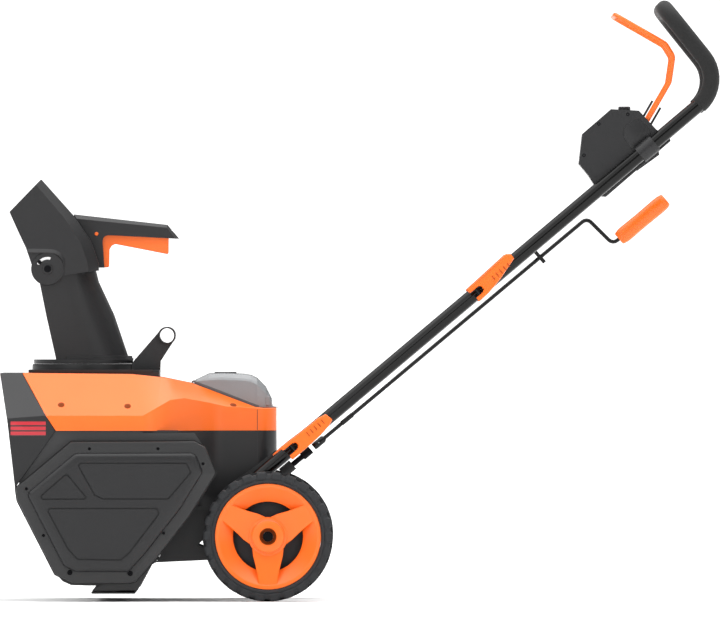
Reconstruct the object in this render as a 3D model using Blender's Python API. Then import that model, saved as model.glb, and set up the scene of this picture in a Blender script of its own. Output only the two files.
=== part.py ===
"""Single stage snowblower, modelled as separate pieces that move on real joints.

Metres, +Z up, front of the machine towards -X, operator's handle towards +X.
The origin is under the middle of the machine, on the ground.
"""
import math
from collections import namedtuple

import bmesh
import bpy
from mathutils import Vector

# ---------------------------------------------------------------- driving dimensions
GAP = 0.0004
WALL = 0.003

CLEARING_HALF = 0.2540
PLATE_THICKNESS = 0.0036
BODY_HALF = 0.2620
TAIL_HALF = 0.1500
COVER_OUTER = 0.2860

DECK_Z = 0.3655
SHOULDER_Z = 0.2974
BAND_Z = 0.2733
TAIL_SHOULDER_Z = 0.3083
FRONT_X = -0.5758
FLARE_START_X = -0.3464
FLARE_END_X = -0.2150
CORNER_X = -0.1638
TAIL_X = -0.1336

AUGER_X = -0.4400
AUGER_Z = 0.1400
AUGER_RADIUS = 0.1200
SCROLL_RADIUS = 0.1280
AUGER_SHAFT_RADIUS = 0.0100
AUGER_PULLEY_RADIUS = 0.0740
MOTOR_X = -0.2720
MOTOR_Z = 0.2050
MOTOR_PULLEY_RADIUS = 0.0200
IDLER_RADIUS = 0.0140
PULLEY_Y = (-0.2755, -0.2635)

CHUTE_X = -0.4440
COLLAR_INNER = 0.0670
COLLAR_OUTER = 0.0700
CHUTE_FLANGE_RADIUS = 0.0800
RING_TEETH = 48
PINION_TEETH = 8
GEAR_MODULE = 0.0032
GEAR_Z = (0.3712, 0.3800)

PIVOT_X = -0.5010
PIVOT_Z = 0.5325
DEFLECTOR_HALF = 0.0720

WHEEL_X = -0.1464
WHEEL_Z = 0.1040
WHEEL_RADIUS = 0.1040
RIM_RADIUS = 0.0850
WHEEL_FACES = (0.2120, 0.2620)
AXLE_RADIUS = 0.0080

TUBE_RADIUS = 0.0110
TUBE_ANGLE = math.radians(40.12)
STUB_Y = 0.1900
LOWER_TUBE_Y = 0.2130
LOWER_BOLT = (-0.1066, 0.2461)
UPPER_BOLT = (0.1896, 0.4957)
BOLT_RADIUS = 0.0040
LEVER_PIVOT_Y = 0.2400
GRIP_RADIUS = 0.0135
BEND_CORNER = (0.5845, 0.8290)
BEND_RADIUS = 0.0560
GRIP_X = 0.4882
GRIP_Z = 0.9486

CRANK_Y = 0.0820
ROD_RADIUS = 0.0032
ROD_FOOT = (-0.0740, 0.2456)
ROD_ANGLE = math.radians(39.95)

BAIL_X = 0.4504
BAIL_Z = 0.7512
BAIL_Y = 0.1650
BAIL_RADIUS = 0.0036

LID_HINGE = (-0.2680, 0.3514)

ROUND = 24
FINE = 36

# ---------------------------------------------------------------- materials
Finish = namedtuple("Finish", "color roughness metallic")
FINISHES = {
    "orange_plastic": Finish((1.0, 0.216, 0.051), 0.45, 0.0),
    "black_plastic": Finish((0.051, 0.051, 0.051), 0.55, 0.0),
    "smoke_lid": Finish((0.32, 0.32, 0.32), 0.15, 0.0),
    "rubber": Finish((0.050, 0.058, 0.068), 0.8, 0.0),
    "foam": Finish((0.040, 0.040, 0.040), 0.7, 0.0),
    "black_paint": Finish((0.015, 0.015, 0.015), 0.25, 0.0),
    "steel": Finish((0.45, 0.45, 0.45), 0.35, 1.0),
    "aluminium": Finish((0.60, 0.60, 0.60), 0.4, 1.0),
}


def material(key):
    """The Principled material of one finish, made once."""
    found = bpy.data.materials.get(key)
    if found:
        return found
    made = bpy.data.materials.new(key)
    made.use_nodes = True
    shader = made.node_tree.nodes["Principled BSDF"]
    finish = FINISHES[key]
    shader.inputs["Base Color"].default_value = (*finish.color, 1.0)
    shader.inputs["Roughness"].default_value = finish.roughness
    shader.inputs["Metallic"].default_value = finish.metallic
    return made


# ---------------------------------------------------------------- modelling helpers
def piece(name, mesh_data, key, smooth=0.0):
    """Turns a bmesh into a named object with its material."""
    bmesh.ops.recalc_face_normals(mesh_data, faces=mesh_data.faces)
    mesh = bpy.data.meshes.new(name)
    mesh_data.to_mesh(mesh)
    mesh_data.free()
    obj = bpy.data.objects.new(name, mesh)
    bpy.context.collection.objects.link(obj)
    mesh.materials.append(material(key))
    if smooth:
        mesh.shade_smooth()
        mesh.set_sharp_from_angle(angle=math.radians(smooth))
    return obj


def prism(name, outline, low, high, key, axis="Y"):
    """Extrudes a closed outline along an axis: YZ outlines along X, XZ along Y and XY along Z."""
    made = bmesh.new()
    if axis == "X":
        corners = [made.verts.new((low, y, z)) for y, z in outline]
        step = Vector((high - low, 0, 0))
    elif axis == "Y":
        corners = [made.verts.new((x, low, z)) for x, z in outline]
        step = Vector((0, high - low, 0))
    else:
        corners = [made.verts.new((x, y, low)) for x, y in outline]
        step = Vector((0, 0, high - low))
    face = made.faces.new(corners)
    extruded = bmesh.ops.extrude_face_region(made, geom=[face], use_keep_orig=True)
    moved = [v for v in extruded["geom"] if isinstance(v, bmesh.types.BMVert)]
    bmesh.ops.translate(made, verts=moved, vec=step)
    return piece(name, made, key)


def block(name, low, high, key):
    """An upright box between two opposite corners."""
    outline = [(low[0], low[2]), (high[0], low[2]), (high[0], high[2]), (low[0], high[2])]
    return prism(name, outline, low[1], high[1], key)


def sweep(name, path, radius, key, hole=0.0, sides=12):
    """A round rod, or a tube if it has a hole, along a list of points."""
    made = bmesh.new()
    points = [Vector(p) for p in path]
    normal = (points[1] - points[0]).orthogonal().normalized()
    rings = []
    for i, point in enumerate(points):
        before = (point - points[i - 1]).normalized() if i else None
        after = (points[i + 1] - point).normalized() if i + 1 < len(points) else None
        along = ((before or after) + (after or before)).normalized()
        stretch = 1.0 / along.dot(after or before)
        normal = (normal - along * normal.dot(along)).normalized()
        side = along.cross(normal)
        bend = (after - before) if before and after else Vector((0, 0, 0))
        outward = bend.normalized() if bend.length > 1e-6 else None
        ring = []
        for size in (radius, hole) if hole else (radius,):
            for k in range(sides):
                turn = 2 * math.pi * k / sides
                offset = (normal * math.cos(turn) + side * math.sin(turn)) * size
                if outward:
                    offset += outward * offset.dot(outward) * (stretch - 1.0)
                ring.append(made.verts.new(point + offset))
        rings.append(ring)
    for first, second in zip(rings, rings[1:]):
        for start in range(0, len(first), sides):
            for k in range(sides):
                n = (k + 1) % sides
                made.faces.new((first[start + k], first[start + n], second[start + n], second[start + k]))
    for ring in (rings[0], rings[-1]):
        if hole:
            for k in range(sides):
                n = (k + 1) % sides
                made.faces.new((ring[k], ring[n], ring[sides + n], ring[sides + k]))
        else:
            made.faces.new(ring)
    return piece(name, made, key, smooth=40)


def turned(name, profile, centre, axis, key, segments=ROUND):
    """Spins a closed (radius, height) profile about an axis through centre."""
    made = bmesh.new()
    turn = Vector((0, 0, 1)).rotation_difference(Vector(axis)).to_matrix()
    rings = []
    for radius, height in profile:
        if radius < 1e-6:
            rings.append([made.verts.new(turn @ Vector((0, 0, height)) + Vector(centre))])
            continue
        ring = []
        for k in range(segments):
            angle = 2 * math.pi * (k + 0.5) / segments
            spot = Vector((radius * math.cos(angle), radius * math.sin(angle), height))
            ring.append(made.verts.new(turn @ spot + Vector(centre)))
        rings.append(ring)
    hollow = all(len(ring) > 1 for ring in rings)
    pairs = list(zip(rings, rings[1:]))
    if hollow:
        pairs.append((rings[-1], rings[0]))
    for first, second in pairs:
        for k in range(segments):
            n = (k + 1) % segments
            around = (first[k % len(first)], first[n % len(first)],
                      second[n % len(second)], second[k % len(second)])
            made.faces.new(list(dict.fromkeys(around)))
    return piece(name, made, key, smooth=35)


def cylinder(name, centre, axis, radius, low, high, key="steel", segments=ROUND):
    """A plain round bar from low to high along an axis."""
    return turned(name, [(0, low), (radius, low), (radius, high), (0, high)], centre, axis, key, segments)


def ring(name, centre, axis, inner, outer, low, high, key="steel", segments=ROUND):
    """A plain round sleeve."""
    profile = [(inner, low), (outer, low), (outer, high), (inner, high)]
    return turned(name, profile, centre, axis, key, segments)


def combine(target, other, operation):
    """Adds a Boolean modifier whose other object is only a guide."""
    other.hide_render = True
    other.display_type = "WIRE"
    step = target.modifiers.new(other.name, "BOOLEAN")
    step.operation = operation
    step.solver = "EXACT"
    step.object = other
    return target


def cut(target, *others):
    """Cuts the other shapes out of target."""
    for other in others:
        combine(target, other, "DIFFERENCE")
    return target


def join(target, *others):
    """Joins the other shapes to target as one body."""
    for other in others:
        combine(target, other, "UNION")
    return target


def wrapped(name, stations, key, thickness=WALL, start=None, end=None, even=True):
    """A thin shell that wraps both sides of the machine and closes across the middle.

    stations run along the machine. Each is a list of points on the left side, from the free
    edge to the edge that the crossing strip joins. start and end give the row from which the
    first and last stations are walled, or None where they stay open.
    """
    made = bmesh.new()
    left = [[made.verts.new(p) for p in station] for station in stations]
    right = [[made.verts.new((x, -y, z)) for x, y, z in station] for station in stations]
    for side in (left, right):
        for first, second in zip(side, side[1:]):
            for k in range(len(first) - 1):
                made.faces.new((first[k], first[k + 1], second[k + 1], second[k]))
    for i in range(len(left) - 1):
        made.faces.new((left[i][-1], left[i + 1][-1], right[i + 1][-1], right[i][-1]))
    for station, row in ((0, start), (-1, end)):
        if row is None:
            continue
        for k in range(row, len(left[station]) - 1):
            made.faces.new((left[station][k], left[station][k + 1],
                            right[station][k + 1], right[station][k]))
    bmesh.ops.recalc_face_normals(made, faces=made.faces)
    middle = sum((v.co for v in made.verts), Vector()) / len(made.verts)
    facing = sum(f.normal.dot(f.calc_center_median() - middle) * f.calc_area() for f in made.faces)
    if facing < 0:
        bmesh.ops.reverse_faces(made, faces=made.faces)
    mesh = bpy.data.meshes.new(name)
    made.to_mesh(mesh)
    made.free()
    obj = bpy.data.objects.new(name, mesh)
    bpy.context.collection.objects.link(obj)
    mesh.materials.append(material(key))
    thicken = obj.modifiers.new("wall", "SOLIDIFY")
    thicken.thickness = thickness
    thicken.offset = -1.0
    thicken.use_even_offset = even
    return obj


def ribbon(points, thickness):
    """The closed outline of a strip of sheet that follows a line of 2-D points."""
    left = []
    right = []
    for i, point in enumerate(points):
        here = Vector(point)
        before = (here - Vector(points[i - 1])).normalized() if i else None
        after = (Vector(points[i + 1]) - here).normalized() if i + 1 < len(points) else None
        along = ((before or after) + (after or before)).normalized()
        normal = Vector((-along.y, along.x))
        reach = thickness / 2 / along.dot(after or before)
        left.append(tuple(here + normal * reach))
        right.append(tuple(here - normal * reach))
    return left + right[::-1]


def arc(centre, radius, start, end, steps):
    """Points on a circle from one angle to another, in degrees."""
    angles = [math.radians(start + (end - start) * i / steps) for i in range(steps + 1)]
    return [(centre[0] + radius * math.cos(a), centre[1] + radius * math.sin(a)) for a in angles]


def rounded(points, radius, steps=4):
    """A line of 3-D points with each inner corner replaced by an arc."""
    spots = [Vector(p) for p in points]
    path = [spots[0]]
    for before, corner, after in zip(spots, spots[1:], spots[2:]):
        come = (before - corner).normalized()
        leave = (after - corner).normalized()
        half = come.angle(leave) / 2
        reach = radius / math.tan(half)
        middle = corner + (come + leave).normalized() * (radius / math.sin(half))
        first = corner + come * reach - middle
        last = corner + leave * reach - middle
        for i in range(steps + 1):
            path.append(middle + first.slerp(last, i / steps) * radius)
    path.append(spots[-1])
    return path


def shrunk(outline, distance):
    """An outline moved inwards by a distance along each corner's bisector."""
    area = sum(a[0] * b[1] - b[0] * a[1] for a, b in zip(outline, outline[1:] + outline[:1]))
    turn = 1.0 if area > 0 else -1.0
    moved = []
    count = len(outline)
    for i, point in enumerate(outline):
        come = (Vector(point) - Vector(outline[i - 1])).normalized()
        leave = (Vector(outline[(i + 1) % count]) - Vector(point)).normalized()
        inward = Vector((-(come + leave).y, (come + leave).x)).normalized() * turn
        reach = distance / max(inward.dot(Vector((-leave.y, leave.x)) * turn), 0.3)
        moved.append(tuple(Vector(point) + inward * reach))
    return moved


def along_tube(start, distance, drop=0.0, angle=TUBE_ANGLE):
    """A point in XZ at a distance up the handle's line from start, and drop below it."""
    across = Vector((math.sin(angle), -math.cos(angle)))
    spot = Vector(start) + Vector((math.cos(angle), math.sin(angle))) * distance + across * drop
    return (spot.x, spot.y)


def at_y(point, y):
    """A 3-D point from an XZ point."""
    return (point[0], y, point[1])


def rod_spot(distance):
    """A point on the crank rod's axis at a distance up from its foot."""
    return at_y(along_tube(ROD_FOOT, distance, angle=ROD_ANGLE), CRANK_Y)


# ---------------------------------------------------------------- body
def half_width(x):
    """The body's half width along X: full at the auger, an S-curve down to the tail."""
    if x <= FLARE_START_X:
        return BODY_HALF
    if x >= FLARE_END_X:
        return TAIL_HALF
    share = (x - FLARE_START_X) / (FLARE_END_X - FLARE_START_X)
    return TAIL_HALF + (BODY_HALF - TAIL_HALF) * (1 + math.cos(math.pi * share)) / 2


def side_stations():
    """X and half width of each station from the flare to the rounded rear corner."""
    count = 6
    xs = [FLARE_START_X + (FLARE_END_X - FLARE_START_X) * i / count for i in range(count + 1)]
    spots = [(x, half_width(x)) for x in xs]
    spots.append((CORNER_X, TAIL_HALF))
    corner = TAIL_X - CORNER_X
    spots += arc((CORNER_X, TAIL_HALF - corner), corner, 67.5, 0, 3)
    return spots


def slide(x, points):
    """Straight-line interpolation through (x, value) pairs."""
    if x <= points[0][0]:
        return points[0][1]
    for (x0, v0), (x1, v1) in zip(points, points[1:]):
        if x <= x1:
            return v0 + (v1 - v0) * (x - x0) / (x1 - x0)
    return points[-1][1]


SHOULDER_LINE = [(-0.5011, SHOULDER_Z), (FLARE_START_X, SHOULDER_Z), (-0.2938, 0.3275),
                 (-0.2450, 0.3190), (-0.2038, 0.3095), (CORNER_X, TAIL_SHOULDER_Z)]
ROOF_LINE = [(-0.5392, DECK_Z), (-0.3750, 0.3642), (-0.3210, 0.3590), (-0.2666, 0.3483), (CORNER_X, 0.3092)]


def upper_cover():
    """Orange cover over the auger housing, motor and battery bay."""
    stations = [[(-0.4854, -BODY_HALF, BAND_Z), (-0.5011, -BODY_HALF, SHOULDER_Z),
                 (-0.5392, -0.2000, DECK_Z)]]
    for x, y in side_stations():
        inset = slide(x, [(FLARE_START_X, 0.062), (-0.2666, 0.050), (-0.2150, 0.028), (TAIL_X, 0.004)])
        back = slide(x, [(FLARE_START_X, 0.020), (-0.2150, 0.004), (TAIL_X, 0.003)])
        roof_x = x - back
        stations.append([
            (x, -y, BAND_Z),
            (x, -y, slide(x, SHOULDER_LINE)),
            (roof_x, inset - y, slide(roof_x, ROOF_LINE) + 0.0004),
        ])
    cover = wrapped("upper_cover", stations, "orange_plastic", end=0)
    bay = block("bay_cut", (-0.2625, -0.1105, 0.2800), (-0.1455, 0.1105, 0.3800), "steel")
    snow = cylinder("cover_snow_cut", (CHUTE_X, 0, 0), (0, 0, 1), 0.0765, 0.34, 0.38)
    shaft = cylinder("cover_shaft_cut", (pinion_x(), 0, 0), (0, 0, 1), 0.0060, 0.34, 0.38)
    return cut(cover, bay, snow, shaft)


def front_hood():
    """Black hood over the front of the auger."""
    edge = 0.0010
    stations = [
        [(-0.4854 - edge, -BODY_HALF, BAND_Z), (-0.5011 - edge, -BODY_HALF, SHOULDER_Z),
         (-0.5392 - edge, -0.2000, DECK_Z)],
        [(-0.5509, -BODY_HALF, 0.1813), (-0.5640, -BODY_HALF, 0.2926), (FRONT_X, -0.2000, DECK_Z)],
    ]
    return wrapped("front_hood", stations, "black_plastic", end=1)


def rear_housing():
    """Black tub behind the auger housing, under the orange cover."""
    floor = [(FLARE_START_X, 0.1500), (-0.2400, 0.1500), (-0.1966, 0.1940), (-0.1670, 0.2150),
             (TAIL_X, 0.2410)]
    spots = [(x, y) for x, y in side_stations() if x > -0.3100]
    stations = [[(x, -y, BAND_Z - 0.0005), (x, -y, slide(x, floor))] for x, y in spots]
    tub = wrapped("rear_housing", stations, "black_plastic", end=0)
    shaft = cylinder("motor_shaft_cut", (MOTOR_X, 0, MOTOR_Z), (0, 1, 0), 0.0130, -0.30, -0.10)
    cable = cylinder("cable_cut", (-0.2970, 0.0450, 0), (0, 0, 1), 0.0090, 0.13, 0.17)
    return cut(tub, shaft, cable)


def auger_housing():
    """Curved sheet around the auger, from the scraper up to the chute hole and the front lip."""
    middle = (AUGER_X, AUGER_Z)
    path = arc(middle, SCROLL_RADIUS, -68, 0, 10)
    path += [(-0.3120, 0.2350), (-0.3620, 0.3200), (-0.3620, 0.3555), (-0.5540, 0.3555), (-0.5540, 0.3000)]
    housing = prism("auger_housing", ribbon(path, WALL), -0.2535, 0.2535, "black_plastic")
    for side in (-1, 1):
        chamfer = [(side * 0.2700, 0.2760), (side * 0.1920, 0.3616), (side * 0.2700, 0.3616)]
        cut(housing, prism(f"housing_chamfer_{side}", chamfer, -0.60, -0.30, "steel", axis="X"))
    snow = cylinder("housing_snow_cut", (CHUTE_X, 0, 0), (0, 0, 1), 0.0765, 0.34, 0.38)
    return cut(housing, snow)


BELT_COVER_OUTLINE = [
    (-0.5496, 0.1816), (-0.4610, 0.2555), (-0.2640, 0.2563), (-0.2466, 0.2470), (-0.2296, 0.2056),
    (-0.2723, 0.1370), (-0.3294, 0.0642), (-0.3580, 0.0328), (-0.3690, 0.0296), (-0.4580, 0.0296),
    (-0.4866, 0.0442), (-0.5466, 0.1613),
]
PANELS = [
    [(-0.4456, 0.2227), (-0.2760, 0.2227), (-0.2680, 0.2070), (-0.3050, 0.1635), (-0.4100, 0.1635),
     (-0.4238, 0.1698), (-0.4509, 0.2184)],
    [(-0.4680, 0.2064), (-0.4352, 0.1670), (-0.4390, 0.1632), (-0.5080, 0.1632), (-0.5100, 0.1698)],
    [(-0.4968, 0.1504), (-0.3224, 0.1504), (-0.3195, 0.1398), (-0.3666, 0.0784), (-0.3810, 0.0660),
     (-0.4509, 0.0670), (-0.4666, 0.0842), (-0.4986, 0.1442)],
]
COVER_SCREWS = [(-0.4315, 0.2446), (-0.3221, 0.2446), (-0.2501, 0.2206), (-0.5323, 0.1806),
                (-0.5051, 0.1061), (-0.3130, 0.1098), (-0.4629, 0.0470), (-0.3666, 0.0456)]


def side_cover(name, side, panels):
    """Hexagonal dished cover on one side, hollow towards the side plate."""
    def layer(label, outline, near, far):
        low, high = sorted((side * near, side * far))
        return prism(label, outline, low, high, "black_plastic")

    border_y = COVER_OUTER - 0.0060
    cover = layer(name, BELT_COVER_OUTLINE, CLEARING_HALF + PLATE_THICKNESS + GAP, border_y)
    join(cover, layer(name + "_plateau", shrunk(BELT_COVER_OUTLINE, 0.0190), border_y - 0.001, COVER_OUTER))
    cut(cover, layer(name + "_hollow", shrunk(BELT_COVER_OUTLINE, 0.0040), 0.2500, border_y - 0.0035))
    for i, outline in enumerate(panels):
        cut(cover, layer(f"{name}_panel_{i}", outline, COVER_OUTER - 0.0020, COVER_OUTER + 0.0020))
    for i, (x, z) in enumerate(COVER_SCREWS):
        low, high = sorted((side * (border_y - 0.0020), side * (COVER_OUTER + 0.0010)))
        cut(cover, cylinder(f"{name}_screw_{i}", (x, 0, z), (0, 1, 0), 0.0040, low, high, segments=12))
    return cover


def side_plate(name, side):
    """Steel end plate that carries the auger bearing and the covers."""
    outline = [(-0.4850, 0.2900), (-0.5290, 0.2260), (-0.5480, 0.1813), (-0.5450, 0.1613), (-0.4850, 0.0442),
               (-0.4750, 0.0328), (-0.4610, 0.0264), (-0.4320, 0.0256), (-0.3600, 0.0256), (-0.3300, 0.0642),
               (-0.2735, 0.1370), (-0.2315, 0.2056), (-0.2475, 0.2460), (-0.2640, 0.2700), (-0.3464, 0.2700),
               (-0.3464, 0.2900)]
    low, high = sorted((side * CLEARING_HALF, side * (CLEARING_HALF + PLATE_THICKNESS)))
    plate = prism(name, outline, low, high, "black_paint")
    through = (low - 0.01, high + 0.01)
    cut(plate, cylinder(name + "_bearing_cut", (AUGER_X, 0, AUGER_Z), (0, 1, 0), 0.0178, *through))
    if side < 0:
        cut(plate, cylinder("plate_motor_cut", (MOTOR_X, 0, MOTOR_Z), (0, 1, 0), 0.0130, *through))
    return plate


def scraper_bar():
    """Replaceable bar that rides just above the ground."""
    path = [(-0.4290, 0.0140), (-0.3600, 0.0140), (-0.3400, 0.0520)]
    return prism("scraper_bar", ribbon(path, WALL), -0.2535, 0.2535, "black_plastic")


def deck_plate():
    """Plate under the chute with the fixed collar that the chute turns on."""
    outline = [(-0.5309, -0.1400), (-0.5209, -0.1500), (-0.3310, -0.1500), (-0.3210, -0.1400),
               (-0.3210, 0.1400), (-0.3310, 0.1500), (-0.5209, 0.1500), (-0.5309, 0.1400)]
    plate = prism("deck_plate", outline, 0.3662, 0.3706, "black_plastic", axis="Z")
    cut(plate, cylinder("pinion_shaft_cut", (pinion_x(), 0, 0), (0, 0, 1), 0.0036, 0.36, 0.38, segments=12))
    join(plate, cylinder("collar", (CHUTE_X, 0, 0), (0, 0, 1), COLLAR_OUTER, 0.3535, 0.3780, segments=FINE))
    bore = cylinder("collar_cut", (CHUTE_X, 0, 0), (0, 0, 1), COLLAR_INNER, 0.34, 0.39, segments=FINE)
    return cut(plate, bore)


def carry_handle():
    """Cross tube on two side lugs behind the chute, with a bridge over the pinion."""
    middle = (-0.3093, 0.4259)
    reach = 0.0137
    lug = [(-0.3610, 0.3712), (-0.3610, 0.3867), (-0.3227, 0.4310)]
    lug += arc(middle, reach, 150, -45, 8)
    lug += [(-0.3203, 0.3843), (-0.3208, 0.3712)]
    handle = prism("carry_handle", lug, 0.0680, 0.0720, "black_plastic")
    join(handle, prism("carry_lug", lug, -0.0720, -0.0680, "black_plastic"))
    bridge = block("carry_bridge", (-0.3610, -0.0700, 0.3815), (-0.3215, 0.0700, 0.3860), "black_plastic")
    join(handle, bridge)
    join(handle, cylinder("carry_tube", at_y(middle, 0), (0, 1, 0), reach, -0.0800, 0.0800, "black_plastic"))
    return cut(handle, cylinder("carry_bore", at_y(middle, 0), (0, 1, 0), 0.0121, -0.09, 0.09))


# ---------------------------------------------------------------- battery bay
def battery_tray():
    """Open tray that holds the two packs."""
    tray = block("battery_tray", (-0.2600, -0.1080, 0.2386), (-0.1480, 0.1080, 0.3040), "black_plastic")
    return cut(tray, block("tray_hollow", (-0.2575, -0.1055, 0.2410), (-0.1505, 0.1055, 0.3200), "steel"))


def battery_pack(name, side):
    """One battery pack with a sloped rear top edge."""
    outline = [(-0.2560, 0.2416), (-0.1520, 0.2416), (-0.1520, 0.3100), (-0.1720, 0.3320), (-0.2440, 0.3320),
               (-0.2560, 0.3200)]
    low, high = sorted((side * 0.0040, side * 0.1030))
    return prism(name, outline, low, high, "black_plastic")


def battery_lid():
    """Smoky lid over the packs, hinged at its front edge."""
    crown = [(-0.2655, 0.3530), (-0.2464, 0.3653), (-0.2200, 0.3657), (-0.1795, 0.3637), (-0.1630, 0.3563),
             (-0.1500, 0.3430), (-0.1395, 0.3302)]
    stations = []
    for x, top in crown:
        seat = slide(x, [(-0.2659, 0.3506), (CORNER_X, 0.3116), (-0.1378, 0.3108)])
        drop = min(0.0120, (top - seat) * 0.45)
        stations.append([(x, -0.1170, seat), (x, -0.1130, top - drop), (x, -0.1000, top)])
    lid = wrapped("battery_lid", stations, "smoke_lid", thickness=0.0025, start=0, end=0, even=False)
    return join(lid, block("lid_tab", (-0.1415, -0.0300, 0.3112), (-0.1304, 0.0300, 0.3134), "smoke_lid"))


# ---------------------------------------------------------------- drive
def pinion_x():
    """X of the chute pinion, one centre distance behind the ring gear."""
    return CHUTE_X + GEAR_MODULE * (RING_TEETH + PINION_TEETH) / 2


def gear_outline(centre, teeth, turn):
    """Outline of a spur gear with slim teeth that leave running clearance."""
    pitch = GEAR_MODULE * teeth / 2
    tip = pitch + 0.75 * GEAR_MODULE
    root = pitch - 1.00 * GEAR_MODULE
    pitch_angle = 2 * math.pi / teeth
    outline = []
    for i in range(teeth):
        middle = turn + i * pitch_angle
        for radius, share in ((root, -0.34), (pitch, -0.20), (tip, -0.09),
                              (tip, 0.09), (pitch, 0.20), (root, 0.34)):
            angle = middle + share * pitch_angle
            outline.append((centre[0] + radius * math.cos(angle), centre[1] + radius * math.sin(angle)))
    return outline


def chute_ring_gear():
    """Toothed ring under the chute flange."""
    outline = gear_outline((CHUTE_X, 0), RING_TEETH, 0.0)
    gear = prism("chute_ring_gear", outline, *GEAR_Z, "black_plastic", axis="Z")
    bore = cylinder("ring_bore", (CHUTE_X, 0, 0), (0, 0, 1), COLLAR_OUTER + GAP, 0.36, 0.39, segments=FINE)
    return cut(gear, bore)


def drive_pinion():
    """Pinion that turns the ring gear, with its shaft down to the cable."""
    half_tooth = math.pi / PINION_TEETH
    outline = gear_outline((pinion_x(), 0), PINION_TEETH, math.pi + half_tooth)
    pinion = prism("drive_pinion", outline, *GEAR_Z, "steel", axis="Z")
    shaft = cylinder("pinion_shaft", (pinion_x(), 0, 0), (0, 0, 1), 0.0030, 0.3550, 0.3750, segments=12)
    return join(pinion, shaft)


def chute_drive_sheath():
    """Sheath of the flexible shaft from the stub at the rear up to the pinion."""
    route = [rod_spot(-0.0560), rod_spot(-0.0850), (-0.2150, 0.0750, 0.1300), (-0.2700, 0.0580, 0.1180),
             (-0.2940, 0.0470, 0.1400), (-0.2980, 0.0400, 0.1900), (-0.3020, 0.0250, 0.2450),
             (-0.3300, 0.0080, 0.2950), (pinion_x(), 0, 0.3300), (pinion_x(), 0, 0.3540)]
    sheath = sweep("chute_drive_sheath", smooth_line(route, 4), 0.0042, "rubber", sides=8)
    ferrule = sweep("ferrule", [rod_spot(-0.0440), rod_spot(-0.0660)], 0.0090, "steel")
    socket = sweep("ferrule_bore", [rod_spot(-0.0300), rod_spot(-0.0545)], 0.0050, "steel")
    return cut(join(sheath, ferrule), socket)


def smooth_line(points, steps):
    """A Catmull-Rom curve through the points."""
    spots = [Vector(p) for p in points]
    spots = [spots[0] * 2 - spots[1]] + spots + [spots[-1] * 2 - spots[-2]]
    path = []
    for a, b, c, d in zip(spots, spots[1:], spots[2:], spots[3:]):
        for i in range(steps):
            t = i / steps
            path.append(0.5 * (2 * b + (c - a) * t + (2 * a - 5 * b + 4 * c - d) * t * t
                               + (3 * b - a - 3 * c + d) * t ** 3))
    path.append(spots[-2])
    return path


def stub_shaft():
    """Short shaft behind the body that the crank rod's coupler meets."""
    shaft = sweep("stub_shaft", [rod_spot(-0.0530), rod_spot(-0.0120)], 0.0044, "steel")
    return join(shaft, sweep("stub_socket", [rod_spot(-0.0240), rod_spot(-0.0060)], 0.0070, "steel"))


def auger():
    """Auger shaft and its S-shaped rubber paddle."""
    middle = (AUGER_X, AUGER_Z)
    cylinder("auger_shaft", at_y(middle, 0), (0, 1, 0), AUGER_SHAFT_RADIUS, -0.2758, 0.2660)
    blade = []
    for i in range(-8, 9):
        reach = AUGER_RADIUS * 0.985 * i / 8
        sweep_back = math.radians(115 + 30 * abs(i) / 8)
        blade.append((middle[0] + reach * math.cos(sweep_back), middle[1] + reach * math.sin(sweep_back)))
    paddle = prism("auger_paddle", ribbon(blade, 0.0070), -0.2450, 0.2450, "rubber")
    join(paddle, cylinder("paddle_hub", at_y(middle, 0), (0, 1, 0), 0.0220, -0.2460, 0.2460, "rubber"))
    bore = cylinder("paddle_bore", at_y(middle, 0), (0, 1, 0), AUGER_SHAFT_RADIUS + GAP, -0.25, 0.25)
    cut(paddle, bore)
    for name, side in (("auger_bearing_left", -1), ("auger_bearing_right", 1)):
        low, high = sorted((side * 0.2500, side * 0.2595))
        ring(name, at_y(middle, 0), (0, 1, 0), AUGER_SHAFT_RADIUS + GAP, 0.0174, low, high)


def pulley(name, centre, radius, bore):
    """A flanged belt pulley on the left side."""
    low, high = PULLEY_Y
    rim = radius - 0.0004
    lip = radius + 0.0030
    profile = [(bore, low), (lip, low), (lip, low + 0.0010), (rim, low + 0.0010), (rim, high - 0.0010),
               (lip, high - 0.0010), (lip, high), (bore, high)]
    return turned(name, profile, at_y(centre, 0), (0, 1, 0), "aluminium", FINE if radius > 0.05 else ROUND)


def belt_loop(offset):
    """Outline around the two pulleys at an offset from their rims."""
    big = (AUGER_X, AUGER_Z)
    small = (MOTOR_X, MOTOR_Z)
    apart = math.dist(big, small)
    heading = math.degrees(math.atan2(small[1] - big[1], small[0] - big[0]))
    lean = math.degrees(math.acos((AUGER_PULLEY_RADIUS - MOTOR_PULLEY_RADIUS) / apart))
    around_big = arc(big, AUGER_PULLEY_RADIUS + offset, heading + lean, heading + 360 - lean, 24)
    around_small = arc(small, MOTOR_PULLEY_RADIUS + offset, heading - lean, heading + lean, 8)
    return around_big + around_small


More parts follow.
